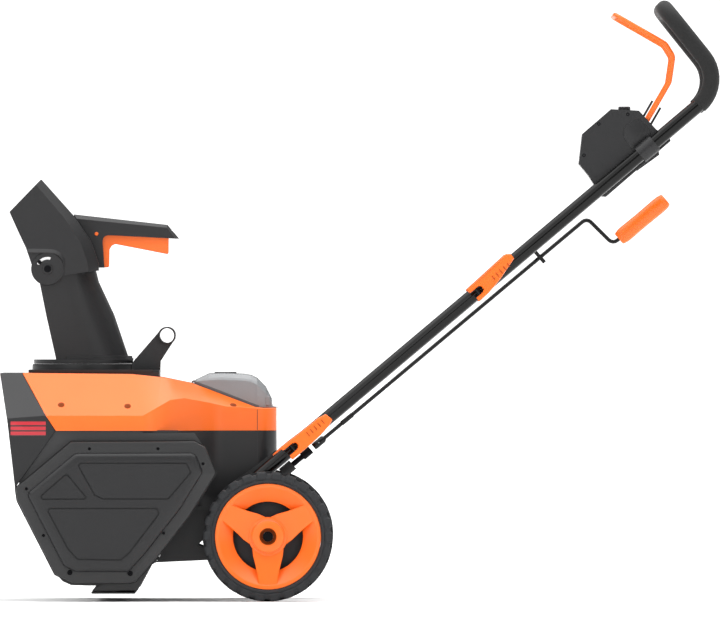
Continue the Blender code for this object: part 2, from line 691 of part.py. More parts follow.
def drive():
    """Motor, pulleys, belt and controller."""
    motor_at = (MOTOR_X, 0, MOTOR_Z)
    motor = cylinder("motor", motor_at, (0, 1, 0), 0.0330, -0.1350, -0.0450, "aluminium", FINE)
    join(motor, cylinder("motor_neck", motor_at, (0, 1, 0), 0.0110, -0.2590, -0.1300))
    join(motor, cylinder("motor_spindle", motor_at, (0, 1, 0), 0.0040, -0.2758, -0.2500))
    pulley("auger_pulley", (AUGER_X, AUGER_Z), AUGER_PULLEY_RADIUS, AUGER_SHAFT_RADIUS + GAP)
    pulley("motor_pulley", (MOTOR_X, MOTOR_Z), MOTOR_PULLEY_RADIUS, 0.0040 + GAP)
    belt_y = (PULLEY_Y[0] + 0.0015, PULLEY_Y[1] - 0.0015)
    belt = prism("drive_belt", belt_loop(0.0026), *belt_y, "rubber")
    cut(belt, prism("belt_inside", belt_loop(0.0004), belt_y[0] - 0.01, belt_y[1] + 0.01, "rubber"))
    idler_at = idler_centre()
    ring("idler_pulley", at_y(idler_at, 0), (0, 1, 0), 0.0044, IDLER_RADIUS, *belt_y, "aluminium")
    post = cylinder("idler_post", at_y(idler_at, 0), (0, 1, 0), 0.0040, -0.2745, CLEARING_HALF * -1 - 0.001)
    join(bpy.data.objects["side_plate_left"], post)
    block("motor_controller", (-0.2900, 0.0850, 0.1900), (-0.2350, 0.1350, 0.2300), "aluminium")


def idler_centre():
    """The idler presses on the outside of the belt's lower run."""
    big = Vector((AUGER_X, AUGER_Z))
    small = Vector((MOTOR_X, MOTOR_Z))
    heading = (small - big).angle_signed(Vector((1, 0)))
    lean = math.acos((AUGER_PULLEY_RADIUS - MOTOR_PULLEY_RADIUS) / (small - big).length)
    normal = Vector((math.cos(heading - lean), math.sin(heading - lean)))
    start = big + normal * AUGER_PULLEY_RADIUS
    finish = small + normal * MOTOR_PULLEY_RADIUS
    return tuple(start.lerp(finish, 0.52) + normal * (IDLER_RADIUS + 0.0031))


# ---------------------------------------------------------------- chute
def chute_section(z, front, rear, half):
    """One level of the chute: flat front and sides with a round back."""
    depth = min(half, (rear - front) * 0.62)
    points = [(front, -half, z)]
    for i in range(9):
        angle = math.radians(-90 + 180 * i / 8)
        points.append((rear - depth + depth * math.cos(angle), half * math.sin(angle), z))
    points.append((front, half, z))
    return points


CHUTE_LEVELS = [
    (0.3800, -0.4860, -0.3680, 0.0640), (0.4584, -0.5035, -0.3944, 0.0650),
    (0.5110, -0.5140, -0.4190, 0.0660), (0.5420, -0.5140, -0.4270, 0.0670),
    (0.5640, -0.5140, -0.4330, 0.0670), (0.5900, -0.5140, -0.4480, 0.0670),
]


def chute_loft(name, inset, low, high):
    """A solid through the chute's levels, smaller by inset."""
    made = bmesh.new()
    levels = list(CHUTE_LEVELS)
    levels[0] = (low, *levels[0][1:])
    levels[-1] = (high, *levels[-1][1:])
    rings = []
    for z, front, rear, half in levels:
        section = chute_section(z, front + inset, rear - inset, half - inset)
        rings.append([made.verts.new(p) for p in section])
    for first, second in zip(rings, rings[1:]):
        for k in range(len(first)):
            n = (k + 1) % len(first)
            made.faces.new((first[k], first[n], second[n], second[k]))
    made.faces.new(rings[0])
    made.faces.new(rings[-1])
    return piece(name, made, "black_plastic", smooth=30)


def discharge_chute():
    """Chute tube on its round flange, cut back at the top so that the deflector clears it."""
    chute = chute_loft("discharge_chute", 0.0, 0.3803, 0.5900)
    flange = cylinder("chute_flange", (CHUTE_X, 0, 0), (0, 0, 1), CHUTE_FLANGE_RADIUS, 0.3803, 0.3870,
                      "black_plastic", FINE)
    join(chute, flange)
    cut(chute, chute_loft("chute_inside", WALL, 0.3700, 0.6000))
    top = [(-0.5400, 0.5150), (-0.4880, 0.5600), (-0.4300, 0.5860), (-0.4200, 0.6200), (-0.5400, 0.6200)]
    cut(chute, prism("chute_top_cut", top, -0.10, 0.10, "steel"))
    for side in (-1, 1):
        bolt = cylinder(f"chute_pivot_{side}", (PIVOT_X, 0, PIVOT_Z), (0, 1, 0), 0.0046,
                        *sorted((side * 0.05, side * 0.10)), segments=12)
        cut(chute, bolt)
    return chute


DEFLECTOR_STATIONS = [
    ((-0.5200, 0.5160), (-0.4195, 0.5300)), ((-0.5270, 0.5400), (-0.4197, 0.5430)),
    ((-0.5358, 0.5660), (-0.4320, 0.5780)), ((-0.5490, 0.5940), (-0.4590, 0.6170)),
    ((-0.5624, 0.6240), (-0.5118, 0.6762)),
]


def deflector():
    """Hood channel at the chute's top, open to the front."""
    stations = []
    for front, rear in DEFLECTOR_STATIONS:
        near_rear = Vector(rear).lerp(Vector(front), 0.16)
        stations.append([
            at_y(front, -DEFLECTOR_HALF),
            at_y(near_rear, -DEFLECTOR_HALF),
            at_y(rear, -DEFLECTOR_HALF + 0.0140),
        ])
    hood = wrapped("deflector", stations, "black_plastic")
    for side in (-1, 1):
        span = sorted((side * 0.0690, side * DEFLECTOR_HALF))
        join(hood, cylinder(f"ear_{side}", (PIVOT_X, 0, PIVOT_Z), (0, 1, 0), 0.0250, *span, "black_plastic"))
        cut(hood, cylinder(f"ear_bore_{side}", (PIVOT_X, 0, PIVOT_Z), (0, 1, 0), 0.0046,
                           *sorted((side * 0.05, side * 0.10)), segments=12))
        name = "pivot_bolt_left" if side < 0 else "pivot_bolt_right"
        head = [(0, 0.0560), (0.0080, 0.0560), (0.0080, 0.0600), (0.0042, 0.0600), (0.0042, 0.0724),
                (0.0058, 0.0724), (0.0058, 0.0770), (0, 0.0770)]
        turned(name, head, (PIVOT_X, 0, PIVOT_Z), (0, side, 0), "steel", 12)
    return hood


def deflector_handle():
    """Channel-shaped grip behind the deflector with the trigger under it."""
    outline = [(-0.4186, 0.5346), (-0.4186, 0.5434), (-0.4306, 0.5774), (-0.4570, 0.6160), (-0.4560, 0.6200),
               (-0.3080, 0.6030), (-0.2900, 0.5830), (-0.2946, 0.5830), (-0.4105, 0.5880), (-0.4135, 0.5650),
               (-0.4135, 0.5346)]
    handle = prism("deflector_handle", outline, -0.0190, 0.0190, "black_plastic")
    slot = [(-0.4290, 0.5700), (-0.4330, 0.5800), (-0.4330, 0.6000), (-0.4200, 0.6060), (-0.3010, 0.5950),
            (-0.3010, 0.5700)]
    cut(handle, prism("trigger_slot", slot, -0.0130, 0.0130, "steel"))
    pin = cylinder("trigger_pin", (-0.4230, 0, 0.5920), (0, 1, 0), 0.0025, -0.0150, 0.0150, segments=12)
    join(handle, pin)
    blade = [(-0.4285, 0.5880), (-0.4280, 0.5970), (-0.4180, 0.5975), (-0.4080, 0.5890), (-0.3069, 0.5840),
             (-0.3080, 0.5570), (-0.3840, 0.5717), (-0.4024, 0.5605), (-0.4027, 0.5354), (-0.4095, 0.5347),
             (-0.4095, 0.5600), (-0.4110, 0.5760), (-0.4200, 0.5850)]
    trigger = prism("deflector_trigger", blade, -0.0120, 0.0120, "orange_plastic")
    cut(trigger, cylinder("trigger_bore", (-0.4230, 0, 0.5920), (0, 1, 0), 0.0029, -0.02, 0.02, segments=12))


# ---------------------------------------------------------------- wheels
def wheel(side, name):
    """Tyre and spoked rim of one wheel."""
    inner, outer = WHEEL_FACES
    centre = (WHEEL_X, 0, WHEEL_Z)
    axis = (0, side, 0)
    shoulder = 0.0080
    tread = WHEEL_RADIUS / math.cos(math.pi / FINE)
    tyre = [(RIM_RADIUS + GAP, inner + 0.004), (tread - shoulder, inner), (tread - 0.002, inner + 0.004),
            (tread, inner + shoulder), (tread, outer - shoulder), (tread - 0.002, outer - 0.004),
            (tread - shoulder, outer), (RIM_RADIUS + GAP, outer - 0.004)]
    turned(f"tyre_{name}", tyre, centre, axis, "rubber", FINE)
    rim = [(0.0520, outer - 0.0240), (0.0575, outer - 0.0210), (0.0780, outer - 0.0045),
           (0.0845, outer - 0.0045), (0.0845, inner + 0.0045), (0.0780, inner + 0.0045),
           (0.0760, outer - 0.0140), (0.0520, outer - 0.0280)]
    wheel_rim = turned(f"wheel_rim_{name}", rim, centre, axis, "orange_plastic", FINE)
    hub = [(0, inner + 0.0030), (0.0200, inner + 0.0030), (0.0257, outer - 0.0260), (0.0314, outer - 0.0240),
           (0.0257, outer - 0.0030), (0, outer - 0.0030)]
    join(wheel_rim, turned(f"hub_{name}", hub, centre, axis, "orange_plastic"))
    web = [(0.0180, inner + 0.0045), (0.0180, inner + 0.0075),
           (0.0800, inner + 0.0075), (0.0800, inner + 0.0045)]
    join(wheel_rim, turned(f"web_{name}", web, centre, axis, "orange_plastic", FINE))
    for i in range(3):
        angle = math.radians(270 + 120 * i)
        out = Vector((math.cos(angle), math.sin(angle)))
        across = Vector((-out.y, out.x))
        corners = [(0.0200, -0.0230), (0.0760, -0.0150), (0.0760, 0.0150), (0.0200, 0.0230)]
        outline = [tuple(Vector((WHEEL_X, WHEEL_Z)) + out * r + across * w) for r, w in corners]
        span = sorted((side * (outer - 0.0270), side * (outer - 0.0110)))
        join(wheel_rim, prism(f"spoke_{name}_{i}", outline, *span, "orange_plastic"))
    bore = [(0, inner - 0.01), (AXLE_RADIUS + GAP, inner - 0.01), (AXLE_RADIUS + GAP, outer - 0.0120),
            (0.0129, outer - 0.0120), (0.0129, outer + 0.01), (0, outer + 0.01)]
    cut(wheel_rim, turned(f"hub_bore_{name}", bore, centre, axis, "steel"))


def axle_and_brackets():
    """Through axle with its hub bolts and the two chassis brackets."""
    centre = (WHEEL_X, 0, WHEEL_Z)
    end = WHEEL_FACES[1] - 0.0100
    head = end + 0.0060
    profile = [(0, -head), (0.0064, -head), (0.0064, -end), (AXLE_RADIUS, -end),
               (AXLE_RADIUS, end), (0.0064, end), (0.0064, head), (0, head)]
    turned("wheel_axle", profile, centre, (0, 1, 0), "steel", 16)
    outline = [(-0.3256, 0.0620), (-0.2435, 0.0658), (-0.1500, 0.0860), (-0.1300, 0.0950), (-0.1280, 0.1120),
               (-0.1500, 0.2080), (-0.2000, 0.1700), (-0.2450, 0.1480), (-0.3085, 0.1480), (-0.3100, 0.0900)]
    window = [(-0.2595, 0.0898), (-0.2515, 0.0970), (-0.2490, 0.0860)]
    for name, side in (("axle_bracket_left", -1), ("axle_bracket_right", 1)):
        low, high = sorted((side * 0.1730, side * 0.1785))
        bracket = prism(name, outline, low, high, "black_plastic")
        cut(bracket, cylinder(name + "_bore", centre, (0, 1, 0), AXLE_RADIUS + GAP, low - 0.01, high + 0.01))
        cut(bracket, prism(name + "_window", window, low - 0.01, high + 0.01, "steel"))


# ---------------------------------------------------------------- handle
def handle_tubes():
    """Fixed stubs, lower tubes with their bolts, and the U-shaped upper handle."""
    for name, side in (("left", -1), ("right", 1)):
        y = side * STUB_Y
        start = at_y(along_tube(LOWER_BOLT, -0.1500), y)
        end = at_y(along_tube(LOWER_BOLT, 0.0180), y)
        stub = sweep(f"handle_stub_{name}", [start, end], TUBE_RADIUS, "black_paint", hole=0.0095)
        cut(stub, bolt_guide(f"stub_bore_{name}", LOWER_BOLT, side, BOLT_RADIUS + GAP, 0.16, 0.25))
        y = side * LOWER_TUBE_Y
        start = at_y(along_tube(LOWER_BOLT, -0.0140), y)
        end = at_y(along_tube(UPPER_BOLT, 0.0140), y)
        tube = sweep(f"lower_tube_{name}", [start, end], TUBE_RADIUS, "black_paint", hole=0.0095)
        for place, spot in (("low", LOWER_BOLT), ("high", UPPER_BOLT)):
            join(tube, bolt_guide(f"bolt_{place}_{name}", spot, side, BOLT_RADIUS, 0.1780, 0.2400))
            join(tube, bolt_head(f"barrel_{place}_{name}", spot, side, 0.0030, 0.0095))
    foot = along_tube(UPPER_BOLT, -0.0140)
    path = [at_y(foot, -STUB_Y), at_y(BEND_CORNER, -STUB_Y), (GRIP_X, -STUB_Y, GRIP_Z),
            (GRIP_X, STUB_Y, GRIP_Z), at_y(BEND_CORNER, STUB_Y), at_y(foot, STUB_Y)]
    bent = handle_path(path)
    upper = sweep("upper_handle", bent, TUBE_RADIUS, "black_paint", hole=0.0095)
    for side in (-1, 1):
        cut(upper, bolt_guide(f"upper_bore_{side}", UPPER_BOLT, side, BOLT_RADIUS + GAP, 0.16, 0.21))
    sweep("foam_grip", bent[1:-1], GRIP_RADIUS, "foam", hole=TUBE_RADIUS + 0.0006)


def handle_path(corners):
    """The upper handle's centre line with its side bends and its two corners at the grip."""
    left = rounded(corners[:3], BEND_RADIUS, 6)
    top = rounded(corners[1:5], 0.0420, 5)
    right = rounded(corners[3:], BEND_RADIUS, 6)
    return left[:-1] + top[1:-1] + right[1:]


def bolt_guide(name, spot, side, radius, near, far):
    """A bar across the handle on one of its bolt axes."""
    return cylinder(name, at_y(spot, 0), (0, 1, 0), radius, *sorted((side * near, side * far)), segments=12)


def bolt_head(name, spot, side, radius, half):
    """The barrel across a bolt's end that a quick-release lever turns on."""
    across = (-math.sin(TUBE_ANGLE), 0, math.cos(TUBE_ANGLE))
    return cylinder(name, at_y(spot, side * LEVER_PIVOT_Y), across, radius, -half, half, segments=12)


def quick_lever(name, spot, side, length):
    """Forked cam lever that lies along the handle and swings outwards."""
    half = 0.0135
    along = Vector((math.cos(TUBE_ANGLE), 0, math.sin(TUBE_ANGLE)))
    across = Vector((-math.sin(TUBE_ANGLE), 0, math.cos(TUBE_ANGLE)))
    tip = length - 0.0120
    outline = [(-0.0120, 0.2360), (0.0050, 0.2275), (0.0250, 0.2275), (tip - 0.0100, 0.2345), (tip, 0.2380),
               (tip, 0.2420), (tip - 0.0080, 0.2445), (0.0200, 0.2475), (-0.0080, 0.2475), (-0.0120, 0.2440)]
    origin = Vector(at_y(spot, 0))

    def plate(label, points, low, high):
        made = bmesh.new()
        base = origin + across * low
        corners = [made.verts.new(base + along * s + Vector((0, side * y, 0))) for s, y in points]
        face = made.faces.new(corners)
        extruded = bmesh.ops.extrude_face_region(made, geom=[face], use_keep_orig=True)
        moved = [v for v in extruded["geom"] if isinstance(v, bmesh.types.BMVert)]
        bmesh.ops.translate(made, verts=moved, vec=across * (high - low))
        return piece(label, made, "orange_plastic")

    lever = plate(name, outline, -half, half)
    slot = [(-0.0300, 0.2100), (0.0220, 0.2100), (0.0220, 0.2600), (-0.0300, 0.2600)]
    cut(lever, plate(name + "_slot", slot, -0.0048, 0.0048))
    return cut(lever, bolt_head(name + "_bore", spot, side, 0.0033, 0.0100))


def crossbar():
    """Cross bar of the upper handle with the eye that guides the crank rod."""
    middle = (0.2776, 0.5670)
    bar = cylinder("handle_crossbar", at_y(middle, 0), (0, 1, 0), 0.0080, -0.1785, 0.1785, "black_paint", 16)
    rod_near = along_tube(ROD_FOOT, math.dist(middle, ROD_FOOT), angle=ROD_ANGLE)
    down = (Vector(rod_near) - Vector(middle)).normalized()
    side = Vector((-down.y, down.x)) * 0.0030
    reach = Vector(rod_near) + down * 0.0110
    near = Vector(middle)
    outline = [tuple(near + side), tuple(near - side), tuple(reach - side), tuple(reach + side)]
    join(bar, prism("rod_eye", outline, CRANK_Y - 0.0080, CRANK_Y + 0.0080, "black_plastic"))
    bore = sweep("eye_bore", [at_y(along_tube(rod_near, -0.02, angle=ROD_ANGLE), CRANK_Y),
                              at_y(along_tube(rod_near, 0.02, angle=ROD_ANGLE), CRANK_Y)], 0.0037, "steel")
    return cut(bar, bore)


def crank():
    """Chute crank: rod with its coupler, offset arm and turning grip."""
    peak = (0.3688, 0.6120)
    low = (0.4086, 0.5730)
    grip_end = (0.4900, 0.6412)
    on_axis = rod_spot(math.dist(ROD_FOOT, peak))
    path = rounded([rod_spot(0), on_axis, at_y(low, CRANK_Y), at_y(grip_end, CRANK_Y)], 0.0100, 4)
    rod = sweep("crank_rod", path, ROD_RADIUS, "black_paint", sides=10)
    join(rod, sweep("coupler", [rod_spot(0), rod_spot(0.0200)], 0.0058, "black_paint"))
    heading = (Vector(grip_end) - Vector(low)).normalized()
    start = Vector(low) + heading * 0.0125
    profile = [(0.0036, 0), (0.0100, 0), (0.0130, 0.0100), (0.0122, 0.0400), (0.0130, 0.0780),
               (0.0115, 0.0940), (0.0036, 0.0960)]
    axis = (heading.x, 0, heading.y)
    turned("crank_grip", profile, at_y(start, CRANK_Y), axis, "orange_plastic", 16)


# ---------------------------------------------------------------- controls
def near_bail(points):
    """XZ offsets from the bail's pivot, as points."""
    return [(BAIL_X + x, BAIL_Z + z) for x, z in points]


def sleeve_guides(name, side, centre_distance, length):
    """The outer and inner cylinders of a clamp around one upper tube."""
    start = at_y(along_tube(UPPER_BOLT, centre_distance - length / 2), side * STUB_Y)
    end = at_y(along_tube(UPPER_BOLT, centre_distance + length / 2), side * STUB_Y)
    outer = sweep(f"{name}_outer", [start, end], 0.0150, "black_plastic")
    far = at_y(along_tube(UPPER_BOLT, centre_distance + length), side * STUB_Y)
    near = at_y(along_tube(UPPER_BOLT, centre_distance - length), side * STUB_Y)
    return outer, sweep(f"{name}_inner", [near, far], TUBE_RADIUS + 0.0008, "steel")


def control_box():
    """Switch housing clamped to the left tube, with the bail's slot."""
    outline = [(0.4029, 0.7883), (0.4477, 0.7859), (0.4752, 0.7560), (0.4973, 0.7400), (0.4950, 0.7340),
               (0.3894, 0.6482), (0.3840, 0.6540), (0.3674, 0.6813), (0.3515, 0.7008), (0.3570, 0.7486)]
    box = prism("control_box", outline, -0.1782, -0.0500, "black_plastic")
    outer, inner = sleeve_guides("box_clamp", -1, 0.3550, 0.0310)
    join(box, outer)
    cut(box, inner)
    sweep_room = near_bail([(-0.0130, -0.0130), (0.0130, -0.0130), (0.0500, 0.0500), (-0.0180, 0.0600)])
    cut(box, prism("bail_slot", sweep_room, -BAIL_Y - 0.0055, -BAIL_Y + 0.0055, "steel"))
    cut(box, cylinder("button_well", (0.4250, -0.1100, 0), (0, 0, 1), 0.0105, 0.7700, 0.8000, segments=16))
    bail_pin("bail_pin_left", box, -1, 0.1500, 0.1775)
    button = [(0, 0.7760), (0.0100, 0.7760), (0.0100, 0.7915), (0.0085, 0.7930), (0, 0.7930)]
    turned("start_button", button, (0.4250, -0.1100, 0), (0, 0, 1), "orange_plastic", 16)


def bail_pin(name, holder, side, near, far):
    """Adds the pin that the bail turns on to its holder."""
    span = sorted((side * near, side * far))
    join(holder, cylinder(name, (BAIL_X, 0, BAIL_Z), (0, 1, 0), 0.0025, *span, segments=12))


def bail_bracket():
    """Small clamp on the right tube that carries the bail's other end."""
    outline = near_bail([(-0.0100, 0.0120), (0.0080, 0.0120), (0.0300, -0.0100), (0.0340, -0.0340),
                         (-0.0020, -0.0600), (-0.0200, -0.0400)])
    bracket = prism("bail_bracket", outline, 0.1545, 0.1782, "black_plastic")
    outer, inner = sleeve_guides("bracket_clamp", 1, 0.3400, 0.0310)
    join(bracket, outer)
    cut(bracket, inner)
    sweep_room = near_bail([(-0.0180, -0.0130), (0.0130, -0.0130), (0.0500, 0.0500), (-0.0180, 0.0600)])
    cut(bracket, prism("bracket_slot", sweep_room, BAIL_Y - 0.0055, BAIL_Y + 0.0055, "steel"))
    bail_pin("bail_pin_right", bracket, 1, 0.1560, 0.1775)


def bail():
    """Orange wire bail: two arms on the pivots and a cross bar in front of the grip."""
    arm = near_bail([(0, 0), (0.0233, 0.0403), (0.0466, 0.0806), (0.0520, 0.1200), (0.0416, 0.1410),
                     (0.0005, 0.1647), (-0.0406, 0.1883)])
    left = smooth_line([at_y(p, -BAIL_Y) for p in arm], 3)
    right = smooth_line([at_y(p, BAIL_Y) for p in arm], 3)
    across = rounded([left[-2], left[-1], right[-1], right[-2]], 0.0080, 3)
    path = left[:-2] + across + right[:-2][::-1]
    lever = sweep("bail", path, BAIL_RADIUS, "orange_plastic", sides=10)
    for side in (-1, 1):
        span = sorted((side * (BAIL_Y - 0.0045), side * (BAIL_Y + 0.0045)))
        join(lever, cylinder(f"bail_eye_{side}", (BAIL_X, 0, BAIL_Z), (0, 1, 0), 0.0075, *span,
                             "orange_plastic", 16))
    for side in (-1, 1):
        span = sorted((side * 0.15, side * 0.18))
        cut(lever, cylinder(f"bail_bore_{side}", (BAIL_X, 0, BAIL_Z), (0, 1, 0), 0.0029, *span, segments=12))
    return lever


def build():
    """Makes every piece of the machine."""
    for obj in list(bpy.data.objects):
        bpy.data.objects.remove(obj)
    auger_housing()
    side_plate("side_plate_left", -1)
    side_plate("side_plate_right", 1)
    side_cover("belt_cover", -1, PANELS)
    side_cover("right_side_cover", 1, PANELS)
    upper_cover()
    front_hood()
    rear_housing()
    scraper_bar()
    deck_plate()
    carry_handle()
    battery_tray()
    battery_pack("battery_pack_left", -1)
    battery_pack("battery_pack_right", 1)
    battery_lid()
    cylinder("lid_hinge_pin", at_y(LID_HINGE, 0), (0, 1, 0), 0.0018, -0.1000, 0.1000, segments=8)
    drive()
    auger()
    chute_ring_gear()
    drive_pinion()
    chute_drive_sheath()
    stub_shaft()
    discharge_chute()
    deflector()
    deflector_handle()
    wheel(-1, "left")
    wheel(1, "right")
    axle_and_brackets()
    handle_tubes()
    for name, side in (("left", -1), ("right", 1)):
        quick_lever(f"lower_lever_{name}", LOWER_BOLT, side, 0.0960)
        quick_lever(f"upper_lever_{name}", UPPER_BOLT, side, 0.0880)
    crossbar()
    crank()
    control_box()
    bail_bracket()
    bail()


build()
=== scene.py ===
"""Looks of the single stage snowblower: finishes, finer pieces, studio and camera.

Metres throughout, +Z up. The machine's front is towards -X and its left side towards -Y.
"""
import logging
import math
from dataclasses import dataclass
from enum import Enum
from typing import ClassVar, Sequence

import bmesh
import bpy
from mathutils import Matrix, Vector
from mathutils.bvhtree import BVHTree


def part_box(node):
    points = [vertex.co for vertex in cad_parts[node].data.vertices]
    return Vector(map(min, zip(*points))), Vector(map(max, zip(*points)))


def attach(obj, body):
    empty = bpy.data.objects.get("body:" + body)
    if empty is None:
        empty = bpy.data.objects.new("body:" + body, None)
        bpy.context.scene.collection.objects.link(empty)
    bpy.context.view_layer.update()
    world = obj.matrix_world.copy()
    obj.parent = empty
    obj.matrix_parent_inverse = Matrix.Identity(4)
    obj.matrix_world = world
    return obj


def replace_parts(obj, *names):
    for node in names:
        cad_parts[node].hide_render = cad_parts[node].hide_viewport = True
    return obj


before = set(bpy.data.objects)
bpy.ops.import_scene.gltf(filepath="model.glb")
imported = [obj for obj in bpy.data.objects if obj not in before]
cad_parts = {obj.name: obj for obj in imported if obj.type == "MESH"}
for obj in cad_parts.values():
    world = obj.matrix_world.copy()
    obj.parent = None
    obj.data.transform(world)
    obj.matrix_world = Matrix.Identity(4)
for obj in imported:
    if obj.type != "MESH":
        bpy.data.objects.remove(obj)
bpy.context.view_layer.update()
LOG = logging.getLogger("snowblower")

MM = 0.001
Point = tuple[float, float]


class Side(Enum):
    """The two sides of the machine, by the sign of Y."""

    LEFT = -1
    RIGHT = 1

    @property
    def word(self) -> str:
        """The side's name as the frame spells it."""
        return self.name.lower()


class Ends(Enum):
    """How the two ends of a loft are closed."""

    CAPPED = "capped"
    JOINED = "joined"


class Slot(Enum):
    """The material slots of the machine."""

    ORANGE_PLASTIC = "orange_plastic"
    ORANGE_PAINT = "orange_paint"
    BLACK_PLASTIC = "black_plastic"
    BATTERY_PLASTIC = "battery_plastic"
    SMOKE_LID = "smoke_lid"
    TYRE = "tyre"
    RUBBER = "rubber"
    FOAM = "foam"
    BLACK_PAINT = "black_paint"
    STEEL = "steel"
    ALUMINIUM = "aluminium"


# ---------------------------------------------------------------- shader helpers
def linear(colour: str) -> tuple[float, float, float, float]:
    """Turns an sRGB hex colour into linear RGBA.

    Args:
        colour: six hex digits after a hash sign.

    Returns:
        Linear red, green, blue and an alpha of one.
    """
    channels = [int(colour[i:i + 2], 16) / 255 for i in (1, 3, 5)]
    red, green, blue = (c / 12.92 if c <= 0.04045 else ((c + 0.055) / 1.055) ** 2.4 for c in channels)
    return (red, green, blue, 1.0)


def add(tree: bpy.types.NodeTree, kind: str, feeds: dict | None = None, **settings) -> bpy.types.Node:
    """Adds one node with its settings and what feeds its sockets.

    Args:
        tree: the node tree to add to.
        kind: the node's class name.
        feeds: by socket name or number, a socket to link from or a constant.
        **settings: the node's own properties.

    Returns:
        The new node.
    """
    node = tree.nodes.new(kind)
    for name, value in settings.items():
        setattr(node, name, value)
    for name, value in (feeds or {}).items():
        if isinstance(value, bpy.types.NodeSocket):
            tree.links.new(value, node.inputs[name])
        else:
            node.inputs[name].default_value = value
    return node


def per_metre(size_mm: float) -> float:
    """The texture scale that gives features of a size in millimetres."""
    return 1.0 / (size_mm * MM)


# ---------------------------------------------------------------- finishes
@dataclass(frozen=True)
class Finish:
    """A finish: its name, slot, colours and roughness."""

    name: str
    slot: Slot
    colour: str
    shade: str
    roughness: float

    def material(self) -> bpy.types.Material:
        """The finish's material, made once."""
        return bpy.data.materials.get(self.name) or self.make()

    def make(self) -> bpy.types.Material:
        """Makes the material and lets the finish wire its shader.

        Returns:
            The new material.
        """
        made = bpy.data.materials.new(self.name)
        made.use_nodes = True
        tree = made.node_tree
        shader = tree.nodes["Principled BSDF"]
        coords = add(tree, "ShaderNodeTexCoord").outputs["Object"]
        self.wire(tree, shader, coords)
        return made

    def wire(self, tree: bpy.types.NodeTree, shader: bpy.types.Node, coords: bpy.types.NodeSocket) -> None:
        """Wires the shader; each kind of finish has its own way.

        Args:
            tree: the material's node tree.
            shader: its Principled shader.
            coords: position on the object, in metres.
        """
        raise NotImplementedError


@dataclass(frozen=True)
class MouldedPlastic(Finish):
    """Injection-moulded plastic.

    The mould's spark-eroded skin gives a fine even grain that spreads the highlight, and flow
    in the mould leaves faint clouds of tone and gloss.
    """

    grain_mm: float = 1.6  # real grain is about 0.2 mm; drawn coarser so that it shows at this distance
    relief_mm: float = 0.008
    cloud_mm: float = 60.0
    specular: float = 0.50

    def wire(self, tree: bpy.types.NodeTree, shader: bpy.types.Node, coords: bpy.types.NodeSocket) -> None:
        """Clouds drive tone and roughness, grain drives the bump.

        Args:
            tree: the material's node tree.
            shader: its Principled shader.
            coords: the piece's own coordinates, in metres.
        """
        cloud = add(tree, "ShaderNodeTexNoise", {"Vector": coords, "Scale": per_metre(self.cloud_mm),
                                                 "Detail": 3.0}).outputs[0]
        tone = add(tree, "ShaderNodeMix", {0: cloud, 6: linear(self.colour), 7: linear(self.shade)},
                   data_type="RGBA").outputs[2]
        gloss = add(tree, "ShaderNodeMapRange", {"Value": cloud, "To Min": self.roughness - 0.05,
                                                 "To Max": self.roughness + 0.05}).outputs[0]
        grain = add(tree, "ShaderNodeTexNoise", {"Vector": coords, "Scale": per_metre(self.grain_mm),
                                                 "Detail": 2.0, "Roughness": 0.6}).outputs[0]
        bump = add(tree, "ShaderNodeBump", {"Height": grain, "Strength": 0.6,
                                            "Distance": self.relief_mm * MM}).outputs[0]
        tree.links.new(tone, shader.inputs["Base Color"])
        tree.links.new(gloss, shader.inputs["Roughness"])
        tree.links.new(bump, shader.inputs["Normal"])
        shader.inputs["IOR"].default_value = 1.5
        shader.inputs["Specular IOR Level"].default_value = self.specular


@dataclass(frozen=True)
class BakedEnamel(Finish):
    """Powder coat baked on steel.

    The molten powder levels to a hard gloss with slight orange peel, so a tube shows long
    sharp streaks of light that waver a little.
    """

    peel_mm: float = 6.0
    relief_mm: float = 0.008
    specular: float = 0.50

    def wire(self, tree: bpy.types.NodeTree, shader: bpy.types.Node, coords: bpy.types.NodeSocket) -> None:
        """Orange peel drives the bump, thin dust drives tone and roughness.

        Args:
            tree: the material's node tree.
            shader: its Principled shader.
            coords: the piece's own coordinates, in metres.
        """
        peel = add(tree, "ShaderNodeTexNoise", {"Vector": coords, "Scale": per_metre(self.peel_mm),
                                                "Detail": 1.0}).outputs[0]
        bump = add(tree, "ShaderNodeBump", {"Height": peel, "Strength": 0.5,
                                            "Distance": self.relief_mm * MM}).outputs[0]
        dust = add(tree, "ShaderNodeTexNoise", {"Vector": coords, "Scale": per_metre(35.0),
                                                "Detail": 4.0}).outputs[0]
        tone = add(tree, "ShaderNodeMix", {0: dust, 6: linear(self.colour), 7: linear(self.shade)},
                   data_type="RGBA").outputs[2]
        gloss = add(tree, "ShaderNodeMapRange", {"Value": dust, "To Min": self.roughness - 0.04,
                                                 "To Max": self.roughness + 0.06}).outputs[0]
        tree.links.new(tone, shader.inputs["Base Color"])
        tree.links.new(gloss, shader.inputs["Roughness"])
        tree.links.new(bump, shader.inputs["Normal"])
        shader.inputs["IOR"].default_value = 1.5
        shader.inputs["Specular IOR Level"].default_value = self.specular


